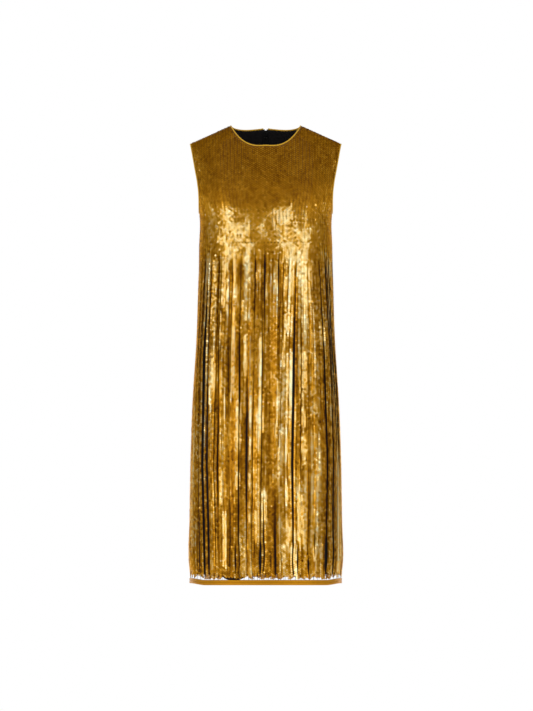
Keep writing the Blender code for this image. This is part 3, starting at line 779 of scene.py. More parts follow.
def sequin_material(name, colours):
    if name in bpy.data.materials:
        return bpy.data.materials[name]
    material, tree, shader = new_material(
        name,
        Metallic=1.0,
        Specular_Tint=(0.88, 0.66, 0.36, 1),
        Coat_Weight=0.05,
        Coat_Roughness=0.12,
    )
    golds = (colours.shaded_gold, colours.deep_gold, colours.gold, colours.painted_highlight_gold)
    fed = {title: (*gold, 1) for title, gold in zip(GOLDS, golds)}
    fed["Roughness"] = colours.sequin_roughness
    finish = node(tree, "ShaderNodeGroup", (-300, 200), sequin_group(), **fed)
    feed(tree, shader.inputs["Base Color"], finish.outputs["Colour"])
    feed(tree, shader.inputs["Roughness"], finish.outputs["Roughness"])
    return material


def woven_material(name, colour, threads, roughness, sheen=0.0, metallic=0.0):
    """Woven cloth, with painted shade in the dips between the threads."""
    if name in bpy.data.materials:
        return bpy.data.materials[name]
    material, tree, shader = new_material(
        name, Roughness=roughness, Metallic=metallic, Specular_IOR_Level=0.2, Sheen_Weight=sheen
    )
    weave = node(tree, "ShaderNodeGroup", (-700, 0), weave_group(), Threads=threads)
    # Painted shade: the dips between the threads are darker
    painted_dip_shade = tuple(0.45 * c for c in colour)
    shade = mix_colours(tree, (-400, 200), weave.outputs["Dips"], (*colour, 1), (*painted_dip_shade, 1))
    high = weave.outputs["Height"]
    relief = node(tree, "ShaderNodeBump", (-300, -200), Strength=0.15, Distance=0.0004, Height=high)
    feed(tree, shader.inputs["Base Color"], shade)
    feed(tree, shader.inputs["Normal"], relief.outputs["Normal"])
    return material


def satin_material(name, colour, metallic):
    return woven_material(name, colour, 1400.0, 0.38, metallic=metallic)


def backing_material(colours):
    return woven_material("yoke_backing", colours.backing, 1100.0, 0.6, metallic=0.2)


# Sequins

def sequin_disc(radius, hole, dish):
    """Corners and quads of one sequin: a faceted dish with a hole, its hollow facing +Z."""
    bm = bmesh.new()
    for size in (radius, hole):
        bmesh.ops.create_circle(bm, segments=FACETS, radius=size)
    corners = np.array([vert.co[:] for vert in bm.verts])
    bm.free()
    corners[:FACETS, 2] = dish
    rim = np.arange(FACETS)
    following = (rim + 1) % FACETS
    return corners, np.stack([rim, following, following + FACETS, rim + FACETS], axis=1)


def turned(first, second, angle):
    """Two unit arrays of vectors, turned in their own plane."""
    cosine, sine = np.cos(angle)[:, None], np.sin(angle)[:, None]
    return first * cosine + second * sine, second * cosine - first * sine


def sequin_mesh(name, points, normals, yaw, pitch, spin, tone_and_painted_light, relief, disc):
    """One mesh of sequins, with a tone and painted light for each, a painted highlight at its hole
    and painted shade at its rim, and a cell for each in its bake map.
    """
    corners, quads = disc
    up = np.tile([0.0, 0.0, 1.0], (len(points), 1))
    across = np.cross(up, normals)
    across /= np.linalg.norm(across, axis=1, keepdims=True)
    up = np.cross(normals, across)
    normals, across = turned(normals, across, yaw)
    normals, up = turned(normals, up, pitch)
    across, up = turned(across, up, spin)
    place = np.stack([across, up, normals], axis=1)
    verts = (points[:, None, :] + np.einsum("vk,nkc->nvc", corners, place)).reshape(-1, 3)
    faces = (np.arange(len(points))[:, None, None] * len(corners) + quads).reshape(-1, 4)
    mesh = bpy.data.meshes.new(name)
    mesh.from_pydata(verts, [], faces)
    cells = math.ceil(math.sqrt(len(points)))
    cell = np.arange(len(points))
    local = corners[quads.ravel(), :2] / (CELL_WIDTH * np.abs(corners[:, :2]).max()) + 0.5
    column, row = (cell % cells)[:, None], (cell // cells)[:, None]
    uv = np.stack([(column + local[:, 0]) / cells, (row + local[:, 1]) / cells], axis=-1)
    mesh.uv_layers.new(name="OFBake").data.foreach_set("uv", uv.astype(np.float32).ravel())
    tones = mesh.attributes.new("tone_and_painted_light", "FLOAT", "POINT")
    # Painted highlight at the hole and painted shade at the rim, as strong as the relief
    out = np.linalg.norm(corners[:, :2], axis=1)
    ring = np.interp(out, (out.min(), out.max()), (PAINTED_HIGHLIGHT_AT_HOLE, PAINTED_SHADE_AT_RIM))
    tone_and_painted_light = np.clip(tone_and_painted_light[:, None] + relief[:, None] * ring, 0, 1)
    tones.data.foreach_set("value", tone_and_painted_light.ravel().astype(np.float32))
    mesh.update()
    return mesh


def look_of(side, normals, strands, heights, fields, rng, sizes):
    """Yaw, pitch, spin, tone with painted light, and relief of sequins, from the fields of their
    side; the relief sets how strong the painted highlight at the hole and the painted shade at the
    rim are.
    """
    count = len(strands)
    own = {name: on_field(field, heights, strands) for name, field in fields.items()}
    alone = rng.random(count) < own["sparkle"]
    uneven = own["facing"] * (1 - 0.8 * rng.random(count) ** 3)
    unlike = rng.normal(0, 1, count) * (0.16 - 0.09 * own["loose"])
    uneven += unlike * np.minimum(4 * own["facing"], 1)
    facing = np.where(alone, rng.uniform(0.3, 0.8, count), np.clip(uneven, 0, 1))
    bearing = np.degrees(np.arctan2(normals[:, 0], side * normals[:, 1]))
    lead = np.where(np.abs(bearing) > CENTRE_BEARING, np.sign(bearing), own["lead"])
    dull = np.sign(bearing) * np.interp(np.abs(bearing), *DULL_BEARINGS)
    bright = lead * BRIGHT_BEARING
    aim = dull + (bright - dull) * ramp(facing, 0.05, 0.75)
    aim = np.where(np.abs(bearing) > SIDE_BEARING, bearing, aim)
    offset = np.radians(np.clip(aim - bearing, -MOST_TURN, MOST_TURN))
    offset += own["turn"] * (1 - 0.8 * facing)
    tilt = math.radians(sizes.sequin_tilt)
    yaw = -side * offset + rng.normal(0, tilt, count)
    pitch = rng.normal(math.radians(sizes.shingle), tilt, count)
    spin = rng.uniform(0, math.pi / 4, count)
    # A painted highlight in the tone of a sequin that turns to the light more than its neighbours
    tone_and_painted_light = own["tone_and_painted_light"] + PAINTED_HIGHLIGHT_OF_FACING * (facing - own["facing"])
    tone_and_painted_light += own["grain"] * rng.normal(0, 1, count)
    # The relief: how strong the painted highlight at the hole and the painted shade at the rim are
    return yaw, pitch, spin, tone_and_painted_light, 0.7 + 0.3 * own["loose"] + 0.4 * facing


def sequin_piece(name, side, spots, fields, seed, finish, sizes, colours):
    """A piece of sequins from their centres, normals and strands."""
    centres, normals, strands = spots
    rng = np.random.default_rng(seed)
    look = look_of(side, normals, strands, centres[:, 2], fields, rng, sizes)
    disc = sequin_disc(sizes.sequin_radius, sizes.sequin_hole, sizes.sequin_dish)
    mesh = sequin_mesh(name, centres, normals, *look, disc)
    return link_piece(name, mesh, sequin_material(finish, colours))


def strand_place(side, strands, height, fields):
    """Where some strands run at one level: points on the outline, and normals."""
    angles, run, length = half_ring(side, height)
    shift = on_field(fields["shift"], height, strands)
    place = parted(side, (strands + 0.5) / STRANDS, height) + shift / length
    angle = np.interp(place, run, angles)
    at = np.full(len(angle), height)
    point = outline(side, angle, at)
    point[:, 2] += hem_lift(point[:, 0]) * drawn_in(height)
    return point, outward(side, angle, at)


def strand_sequins(side, first, last, sizes, fields):
    """Centres and normals of the sequins on some strands, with each one's strand and height."""
    strands = np.arange(first, last)
    odd = strands % 2
    pitch = sizes.sequin_pitch
    levels = YOKE_BOTTOM - pitch * (np.arange(1 + int((YOKE_BOTTOM - SEQUINS_END) / pitch)) + 0.5)
    points, normals = [], []
    for height in levels:
        point, normal = strand_place(side, strands, height, fields)
        depth = on_field(fields["depth"], height, strands)
        point += normal * (SEQUIN_OUT - SECOND_IN * odd - depth)[:, None]
        point[:, 2] -= 0.5 * pitch * odd
        points.append(point)
        normals.append(normal)
    points, normals = np.concatenate(points), np.concatenate(normals)
    strands = np.tile(strands, len(levels))
    ragged = 1 + np.sin(12.9 * strands + 4 * np.sin(3.7 * strands))
    keep = points[:, 2] > SEQUINS_END - RUN_ON + hem_lift(points[:, 0]) + RAGGED * ragged
    return points[keep], normals[keep], strands[keep]


def yoke_sequins(side, hand, sizes):
    """Centres, normals and strands of the sequins sewn on one hand's half of a yoke panel."""
    angles, run, _ = half_ring(side, YOKE_BOTTOM)
    shares = (np.arange(STRANDS) + 0.5) / STRANDS
    found = []
    for strand, angle in enumerate(np.interp(shares, run, angles)):
        if math.copysign(1, angle) != hand:
            continue
        top = float(ridge(outline(side, angle, np.array(0.0))[0]))
        heights = top - (top - YOKE_BOTTOM) * np.linspace(1, 0, 400) ** 2
        walk = run_along(outline(side, np.full(400, angle), heights))
        steps = np.arange(0.5 * sizes.sequin_pitch * (1 - strand % 2), walk[-1], sizes.sequin_pitch)
        found.append([0 * steps + angle, np.interp(steps, walk, heights), 0 * steps + strand])
    angle, height, strand = np.concatenate(found, axis=1)
    point = outline(side, angle, height)
    neck = (np.abs(point[:, 0]) / (NECK_HALF + EDGE_CLEAR)) ** NECK_POWER
    neck += (np.abs(point[:, 1]) / (NECK_REACH[side] + EDGE_CLEAR)) ** NECK_POWER
    keep = (neck > 1) | (height < BELOW_NECK)
    at_side = np.abs(point[:, 0]) >= armhole_width(height) - EDGE_CLEAR
    keep &= (height < BELOW_UNDERARM) | ~at_side
    keep &= ridge(point[:, 0]) - height > SHOULDER_CLEAR
    if side == BACK:
        keep &= np.abs(point[:, 0]) > 2 * ZIP_HALF
    normal = outward(side, angle, height)
    point += normal * (SEQUIN_OUT - SECOND_IN * (strand % 2))[:, None]
    return point[keep], normal[keep], strand[keep].astype(int)


def thread_mesh(name, side, first, last, fields):
    """The threads that the strands' sequins are strung on, down to the hem band."""
    strands = np.arange(first, last)
    heights = [*np.linspace(YOKE_BOTTOM - STRIP / 2, SEQUINS_END, 30), BAND_HIGH - LENGTH - 0.001]
    rings = []
    knots = np.clip(strands // 3 * 3 + 1, first, last - 1)
    for height in heights:
        at, depth, width = knots, TIE_IN, TIE_HALF
        if height > SEQUINS_END:
            at, width = strands, THREAD_HALF
            depth = on_field(fields["depth"], height, strands)
        centre, normal = strand_place(side, at, height, fields)
        across = np.cross(normal, [0.0, 0.0, 1.0])
        centre -= normal * (THREAD_IN + depth + 0 * strands)[:, None]
        corners = [centre + width * normal, centre - width * across, centre + width * across]
        rings.append(np.stack(corners, axis=1))
    verts = np.array(rings)
    levels, count = verts.shape[:2]
    index = np.arange(verts.size // 3).reshape(levels, count, 3)
    following = np.roll(index, -1, axis=2)
    quads = np.stack([index[:-1], index[1:], following[1:], following[:-1]], axis=-1)
    mesh = bpy.data.meshes.new(name)
    mesh.from_pydata(verts.reshape(-1, 3), [], quads.reshape(-1, 4))
    bm = bmesh.new()
    bm.from_mesh(mesh)
    bmesh.ops.holes_fill(bm, edges=bm.edges, sides=3)
    bmesh.ops.recalc_face_normals(bm, faces=bm.faces)
    bm.to_mesh(mesh)
    bm.free()
    return mesh


# Settings

def number_setting(name, description, value, **more):
    return FloatProperty(name=name, description=description, default=value, **more)


def size_setting(name, description, value):
    return number_setting(name, description, value, unit="LENGTH", precision=5)


def colour_setting(name, description, value):
    return FloatVectorProperty(name=name, description=description, default=value, subtype="COLOR")


class DressSizes(bpy.types.PropertyGroup):
    """Sizes of the finer pieces."""

    sequin_radius: size_setting("Sequin radius", "Of one sequin", 0.00252)
    sequin_hole: size_setting("Sequin hole", "Radius of the hole in a sequin", 0.0005)
    sequin_dish: size_setting("Sequin dish", "Depth of a sequin's hollow", 0.00015)
    sequin_pitch: size_setting("Sequin pitch", "From one sequin to the next on a strand", 0.005)
    shingle: number_setting("Shingle", "How far a sequin's foot stands out, in degrees", 3.0)
    sequin_tilt: number_setting("Sequin tilt", "How far they lean, in degrees", 2.5)
    yoke_wall: size_setting("Yoke cloth", "Thickness of the yoke's backing", 0.0012)
    piping_radius: size_setting("Piping radius", "Of the round piping", 0.0016)


class DressColours(bpy.types.PropertyGroup):
    """Colours and gloss of the finishes."""

    # Lit and shaded copies of the sequins' gold: shaded gold is painted shade, gold is painted
    # light and pale gold a painted highlight; deep gold is their own colour
    shaded_gold: colour_setting("Shaded gold", "Sequins in the dark streaks", (0.11, 0.036, 0.002))
    deep_gold: colour_setting("Deep gold", "Most sequins", (0.60, 0.235, 0.004))
    gold: colour_setting("Gold", "Sequins that catch some light", (0.94, 0.50, 0.040))
    painted_highlight_gold: colour_setting("Pale gold", "Sequins in the bright streaks", (1.0, 0.94, 0.56))
    satin: colour_setting("Satin", "Hem band", (0.95, 0.42, 0.014))
    piping: colour_setting("Piping", "Satin round the neck and the armholes", (1.0, 0.56, 0.035))
    slip: colour_setting("Slip", "The black slip", (0.016, 0.0125, 0.013))
    backing: colour_setting("Backing", "Cloth under the yoke's sequins", (0.26, 0.105, 0.004))
    thread: colour_setting("Thread", "What the strands are strung on", (0.035, 0.016, 0.004))
    sequin_roughness: number_setting("Sequin roughness", "Of their film", 0.28)


class StageSettings(bpy.types.PropertyGroup):
    """Light on the dress."""

    side_light: number_setting("Front lights", "Watts of each front box", 9.5)
    back_light: number_setting("Back lights", "Watts of each back box", 6.0)


# Pieces

class DRESS_OT_yoke(bpy.types.Operator):
    """Yoke panels of backing cloth, with columns of sewn sequins"""

    bl_idname = "fringe_dress.yoke"
    bl_label = "Yoke"

    def execute(self, context):
        sizes, colours = context.scene.dress_sizes, context.scene.dress_colours
        fields = {side: cloth_fields(side) for side in (FRONT, BACK)}
        for name, side, grid, hands in panels({side: half_yoke(side) for side in fields}):
            self.panel(f"yoke_{name}", side, grid, hands, fields[side], sizes, colours)
        return {"FINISHED"}

    def panel(self, name, side, grid, hands, fields, sizes, colours):
        points = panel_points(side, grid, SEQUIN_OUT)
        cloth = cloth_sheet(f"{name}_cloth", points, sizes.yoke_wall, backing_material(colours))
        finish_piece(cloth, "gold_sequins", name)
        parts = [yoke_sequins(side, hand, sizes) for hand in hands]
        spots = [np.concatenate(part) for part in zip(*parts)]
        look = (fields, len(name) + side, "yoke_sequins", sizes, colours)
        sequins = sequin_piece(f"{name}_sequins", side, spots, *look)
        finish_piece(sequins, "gold_sequins", name)
        declare_cloth(points)


class DRESS_OT_slip(bpy.types.Operator):
    """The black slip, which lines the yoke and hangs behind the strands"""

    bl_idname = "fringe_dress.slip"
    bl_label = "Slip"

    def execute(self, context):
        colour = context.scene.dress_colours.slip
        material = woven_material("slip_cloth", colour, 1300.0, 0.75, sheen=0.04)
        halves, insets = {}, {}
        for side in (FRONT, BACK):
            halves[side], insets[side] = self.grid(side)
        for name, side, grid, _ in panels(halves):
            if side == FRONT:
                x = outline(FRONT, grid[0, :, 0], grid[0, :, 1])[:, 0]
                centre, half_width, depth = SLIP_DIP
                grid[0, :, 1] -= depth * np.exp(-(((x - centre) / half_width) ** 4))
            points = panel_points(side, grid, insets[side])
            cloth = cloth_sheet(f"slip_{name}_cloth", points, SLIP_WALL, material)
            finish_piece(cloth, "black_slip_fabric", f"slip_{name}")
            declare_cloth(points)
        return {"FINISHED"}

    def grid(self, side):
        half = half_yoke(side)
        feet = np.linspace(0, math.pi / 2, half.shape[1])
        heights = [SLIP_BOTTOM, *SLIP_LEVELS[side]]
        lower = [np.stack([feet, np.full(len(feet), height)], axis=1) for height in heights]
        inset = np.interp([-h for h in heights], SLIP_DROPS, (SLIP_INSET, SLIP_HANG))
        grid = np.concatenate([np.array(lower), half])
        return grid, np.concatenate([inset, np.full(len(half), SLIP_INSET)])[:, None]


class DRESS_OT_fringe(bpy.types.Operator):
    """Strands of sequins on their threads, and the strips that they hang from"""

    bl_idname = "fringe_dress.fringe"
    bl_label = "Fringe"

    def execute(self, context):
        sizes, colours = context.scene.dress_sizes, context.scene.dress_colours
        half = STRANDS // 2
        for name, side, first, last in (
            ("fringe_front", FRONT, 0, STRANDS),
            ("fringe_back_right", BACK, 0, half),
            ("fringe_back_left", BACK, half, STRANDS),
        ):
            fields = cloth_fields(side)
            self.strip(name, side, first, last, colours)
            mesh = thread_mesh(f"{name}_threads", side, first, last, fields)
            thread = woven_material("strand_thread", colours.thread, 1800.0, 0.7)
            threads = link_piece(f"{name}_threads", mesh, thread)
            finish_piece(threads, "gold_sequins", name)
            for start in range(first, last, half):
                self.strands(name, side, start, min(start + half, last), fields, sizes, colours)
        return {"FINISHED"}

    def strip(self, name, side, first, last, colours):
        ends = np.interp([first / STRANDS, last / STRANDS], *half_ring(side, YOKE_BOTTOM)[1::-1])
        angles = np.linspace(ends[0], ends[1], last - first + 1)
        if side == BACK:
            clear = angle_at(centre_gap(YOKE_BOTTOM), YOKE_BOTTOM)
            angles = np.where(np.abs(angles) < clear, np.sign(ends.sum()) * clear, angles)
        heights = (YOKE_BOTTOM - STRIP, YOKE_BOTTOM - STRIP / 2, YOKE_BOTTOM - SEAM_HALF)
        grid = np.stack([np.stack([angles, np.full(len(angles), z)], axis=1) for z in heights])
        points = panel_points(side, grid, STRIP_IN)
        strip = cloth_sheet(f"{name}_strip", points, STRIP_WALL, backing_material(colours))
        finish_piece(strip, "gold_sequins", name)

    def strands(self, name, side, first, last, fields, sizes, colours):
        spots = strand_sequins(side, first, last, sizes, fields)
        look = (fields, first + 31, "fringe_sequins", sizes, colours)
        sequins = sequin_piece(f"{name}_sequins_{first}", side, spots, *look)
        finish_piece(sequins, "gold_sequins", name)


def cord(name, points, radius, material, kind="POLY", closed=False):
    """A round cord through points."""
    curve = bpy.data.curves.new(name, "CURVE")
    curve.dimensions = "3D"
    curve.bevel_depth = radius
    curve.bevel_resolution = 4 if kind == "POLY" else 3
    curve.resolution_u = 6
    curve.use_fill_caps = True
    spline = curve.splines.new(kind)
    spline.points.add(len(points) - 1)
    spline.use_cyclic_u = closed
    for place, point in zip(spline.points, points):
        place.co = (*point, 1)
    if kind == "NURBS":
        spline.use_endpoint_u = True
        spline.order_u = 3
    return link_piece(name, curve, material)


def edge_cord(name, nodes, inward_to, radius, closed, material):
    """Round piping along an edge, given by side, angle and height at each point."""
    midway = (SLIP_INSET + SLIP_WALL) / 2 - (ARMHOLE_OUT if closed else NECK_OUT)
    spots = [(side, np.array(a), np.array(z)) for side, a, z in nodes]
    normals = [outward(*spot) for spot in spots]
    points = [outline(*spot) - midway * normal for spot, normal in zip(spots, normals)]
    count = len(points)
    middles = []
    for i in range(count):
        before = points[(i - 1) % count if closed else max(i - 1, 0)]
        after = points[(i + 1) % count if closed else min(i + 1, count - 1)]
        aside = Vector(after - before).cross(Vector(normals[i])).normalized()
        if aside.dot(inward_to - Vector(points[i])) < 0:
            aside.negate()
        middles.append(Vector(points[i]) + aside * radius)
    return cord(name, middles, radius, material, closed=closed)


class DRESS_OT_piping(bpy.types.Operator):
    """Round satin piping at the neck and the armholes"""

    bl_idname = "fringe_dress.piping"
    bl_label = "Piping"

    def execute(self, context):
        radius = context.scene.dress_sizes.piping_radius
        material = satin_material("piping_satin", context.scene.dress_colours.piping, 0.25)
        grids = {side: half_yoke(side)[ROWS_LOW:] for side in (FRONT, BACK)}
        neck = {
            side: [tuple(g[ROWS_NECK, c]) for c in range(NECK_COLUMNS)]
            + [tuple(g[r, NECK_COLUMNS]) for r in range(ROWS_NECK, ROWS_HIGH + 1)]
            for side, g in grids.items()
        }
        start = (float(angle_at(PIPING_STARTS, neck[BACK][0][1])), neck[BACK][0][1])
        rest = [spot for spot in neck[BACK] if spot[0] > start[0] + 0.01]
        back = [(BACK, a, z) for a, z in [start, *rest]]
        half = back + [(FRONT, a, z) for a, z in neck[FRONT][-2::-1]]
        nodes = half + [(side, -a, z) for side, a, z in half[-2::-1]]
        piece = edge_cord("neck_piping_cord", nodes, Vector(NECK_MIDDLE), radius, False, material)
        finish_piece(piece, "gold_satin", "neck_piping")
        for hand in (LEFT, RIGHT):
            up = [(FRONT, hand * a, z) for a, z in grids[FRONT][:, COLUMNS]]
            down = [(BACK, hand * a, z) for a, z in grids[BACK][-2:0:-1, COLUMNS]]
            middle = Vector((hand * ARM_MIDDLE, 0, (UNDERARM + SHOULDER_TIP[1]) / 2))
            name = f"armhole_piping_{WORDS[hand]}"
            piece = edge_cord(f"{name}_cord", up + down, middle, radius, True, material)
            finish_piece(piece, "gold_satin", name)
        return {"FINISHED"}


class DRESS_OT_hem_band(bpy.types.Operator):
    """The satin band at the hem, with its two soft ridges"""

    bl_idname = "fringe_dress.hem_band"
    bl_label = "Hem Band"

    # How far down and how far out the cloth's face runs, from the top edge
    profile = (
        (0.0, -0.0010), (0.0003, -0.0002), (0.0011, 0.0006), (0.0019, 0.0005),
        (0.0026, -0.0002), (0.0033, 0.0004), (0.0044, 0.0006), (0.0053, -0.0001),
        (0.0056, -0.0008),
    )

    def execute(self, context):
        lower = [(BAND_HIGH - down, out) for down, out in self.profile[-2::-1]]
        angles = np.linspace(-math.pi / 2, math.pi / 2, 121)
        rows = [self.ring(angles, down, out) for down, out in (*self.profile, *lower)]
        points = np.array(rows[::-1])
        material = satin_material("band_satin", context.scene.dress_colours.satin, 0.8)
        band = cloth_sheet("hem_band_satin", points, BAND_WALL, material, closed=True)
        finish_piece(band, "gold_satin", "hem_band")
        declare_cloth(points)
        return {"FINISHED"}

    def ring(self, angles, down, out):
        height = np.full(len(angles), BAND_HIGH - LENGTH)
        parts = []
        for side, turned_angles in ((FRONT, angles), (BACK, angles[::-1])):
            spots = (side, turned_angles, height)
            parts.append((outline(*spots) + out * outward(*spots))[:-1])
        ring = np.concatenate([*parts, parts[0][:1]])
        ring[:, 2] += hem_lift(ring[:, 0]) - down
        return ring


def back_frame(height, out):
    """A frame on the centre-back line: X to the wearer's left, Y out of the cloth, Z up."""
    spot = (BACK, np.array(0.0), np.array(height))
    normal = Vector(outward(*spot))
    turn = Matrix.Rotation(math.atan2(normal.z, normal.y), 4, "X")
    return Matrix.Translation(Vector(outline(*spot)) + out * normal) @ turn


def rounded_box(size, bevel, taper=1.0):
    """A bmesh box with rounded edges, whose foot is narrower where the taper is below 1."""
    bm = bmesh.new()
    bmesh.ops.create_cube(bm, size=1)
    bmesh.ops.scale(bm, verts=bm.verts, vec=size)
    for vert in bm.verts:
        if vert.co.z < 0:
            vert.co.x *= taper
    settings = {"segments": 2, "profile": 0.5, "affect": "EDGES", "clamp_overlap": True}
    bmesh.ops.bevel(bm, geom=bm.edges[:], offset=bevel, **settings)
    return bm


def wire(name, frame_at, points, radius, material):
    """A bent wire through points of a local frame."""
    return cord(name, [frame_at @ Vector(point) for point in points], radius, material, "NURBS")


def eyed_plate(name, corners, eye, thick, bevel):
    """A flat plate with an eye, as a mesh that faces local Y."""
    curve = bpy.data.curves.new(name, "CURVE")
    curve.dimensions = "2D"
    curve.fill_mode = "BOTH"
    curve.extrude = thick / 2 - bevel
    curve.bevel_depth = bevel
    curve.bevel_resolution = 2
    for ring in (corners, eye):
        spline = curve.splines.new("POLY")
        spline.points.add(len(ring) - 1)
        spline.use_cyclic_u = True
        for place, (x, z) in zip(spline.points, ring):
            place.co = (x, z, 0, 1)
    flat = bpy.data.objects.new(name, curve)
    mesh = bpy.data.meshes.new_from_object(flat)
    bpy.data.objects.remove(flat)
    bpy.data.curves.remove(curve)
    mesh.transform(Matrix.Rotation(math.pi / 2, 4, "X"))
    mesh.name = name
    return mesh


def rounded_ring(half_width, top, bottom, radius, steps=5):
    """Corners of an upright rounded rectangle, anticlockwise."""
    ring = []
    for quarter, (x, z) in enumerate(
        ((half_width, top), (-half_width, top), (-half_width, bottom), (half_width, bottom))
    ):
        centre = x - math.copysign(radius, x), z - (radius if z == top else -radius)
        for step in range(steps + 1):
            angle = math.pi / 2 * (quarter + step / steps)
            away = radius * math.cos(angle), radius * math.sin(angle)
            ring.append((centre[0] + away[0], centre[1] + away[1]))
    return ring


class DRESS_OT_zip(bpy.types.Operator):
    """The zip at the centre back, with its slider and pull tab, and the hook at the neck"""

    bl_idname = "fringe_dress.zip"
    bl_label = "Zip"

    # Points of the wires, in metres from the slider's or the hook's place
    crown = (
        (0, -0.0010, 0.0015), (0, 0.0008, 0.0015), (0, 0.0016, 0.0009),
        (0, 0.0018, 0), (0, 0.0016, -0.0009), (0, 0.0008, -0.0015),
        (0, -0.0010, -0.0015),
    )
    hook = (
        (-0.0038, 0, -0.0013), (-0.0038, 0, 0.0013), (-0.0014, 0, 0.0013),
        (-0.0012, 0, 0.0004), (0.0022, 0, 0.0004), (0.0024, 0.0002, -0.0003),
        (0.0010, 0.0002, -0.0005),
    )
    eye = (
        (0.0039, 0, 0.0013), (0.0026, 0, 0.0014), (0.0010, 0, 0.0008),
        (0.0008, 0, -0.0008), (0.0026, 0, -0.0014), (0.0039, 0, -0.0013),
    )

    crown_radius, hook_radius = 0.0005, 0.00035
    slider_bevel, slider_taper, slider_place = 0.00045, 0.78, (0, -0.0017, 0.0010)

    # The pull tab's outline and its eye: half width, top, bottom and radius of the corners
    plate = (0.0025, 0.0005, -0.0155, 0.0016)
    plate_eye = (0.0013, -0.0005, -0.0035, 0.0009)
    plate_wall, plate_bevel = 0.0010, 0.00015

    # The tapes, one between the panels and a wide one sewn inside the slip: half width, how far
    # in at the top and lower down, and wall
    tapes = {
        "zip_tape": (ZIP_HALF + 0.0002, (0.0011, 0.0073), 0.0010),
        "zip_tape_inside": (0.007, (0.0031, 0.0081), 0.0004),
    }
    tooth_bevel, tooth_in, tooth_aside = 0.00022, 0.0007, 0.0005

    def execute(self, context):
        metal = self.metal()
        self.tape()
        self.teeth(metal)
        at_slider = back_frame(SLIDER_AT, SLIDER_OUT)
        bm = rounded_box(SLIDER, self.slider_bevel, self.slider_taper)
        on_chain = at_slider @ Matrix.Translation(self.slider_place)
        bmesh.ops.transform(bm, matrix=on_chain, verts=bm.verts)
        finish_piece(new_piece("slider_body", bm, metal), "dark_metal", "zip_slider")
        crown = wire("slider_crown", at_slider, self.crown, self.crown_radius, metal)
        finish_piece(crown, "dark_metal", "zip_slider")
        rings = rounded_ring(*self.plate), rounded_ring(*self.plate_eye)
        plate = eyed_plate("pull_tab_plate", *rings, self.plate_wall, self.plate_bevel)
        plate.transform(at_slider)
        tab = link_piece("pull_tab_plate", plate, metal)
        finish_piece(tab, "dark_metal", "zip_pull_tab", body="pull_tab")
        at_hook = back_frame(HOOK_AT, -HOOK_IN)
        for name, points in (("neck_hook_wire", self.hook), ("neck_eye_wire", self.eye)):
            piece = wire(name, at_hook, points, self.hook_radius, metal)
            finish_piece(piece, "dark_metal", "neck_hook")
        return {"FINISHED"}

    def metal(self):
        metal, tree, shader = new_material("dark_zip_metal", Roughness=0.32, Metallic=0.9)
        tones = (0.03, 0.027, 0.026, 1), (0.09, 0.08, 0.07, 1)
        shade = mix_colours(tree, (-350, 100), speckle(tree, (-650, 0), 700.0, 4.0), *tones)
        feed(tree, shader.inputs["Base Color"], shade)
        return metal

    def tape(self):
        material = woven_material("zip_tape", (0.012, 0.011, 0.011), 1600.0, 0.6)
        for name, (half_width, inset, wall) in self.tapes.items():
            heights = np.linspace(ZIP_END, ZIP_TOP, 97)[:, None] + np.zeros(7)
            across = np.linspace(half_width, -half_width, 7) + 0 * heights
            depth = np.interp(-heights, ZIP_DEPTH[0], inset)
            points = inset_point(BACK, angle_at(across, heights), heights, depth)
            tape = cloth_sheet(name, points, wall, material)
            finish_piece(tape, "black_zip", "zip_chain")

    def teeth(self, metal):
        """The closed teeth, in turn from the left and the right tape."""
        bm = rounded_box(TOOTH, self.tooth_bevel)
        bm.verts.index_update()
        corners = np.array([v.co[:] for v in bm.verts])
        faces = [[v.index for v in face.verts] for face in bm.faces]
        bm.free()
        heights = np.arange(TEETH_TOP, ZIP_END + 0.002, -TOOTH_STEP)
        verts, loops = [], []
        for i, height in enumerate(heights):
            depth = float(np.interp(-height, *ZIP_DEPTH)) + self.tooth_in
            place = np.array(back_frame(height, -depth))
            aside = corners + (self.tooth_aside if i % 2 else -self.tooth_aside, 0, 0)
            verts.append(aside @ place[:3, :3].T + place[:3, 3])
            loops += [[corner + i * len(corners) for corner in face] for face in faces]
        mesh = bpy.data.meshes.new("zip_teeth")
        mesh.from_pydata(np.concatenate(verts), [], loops)
        mesh.shade_smooth()
        finish_piece(link_piece("zip_teeth", mesh, metal), "black_zip", "zip_chain")


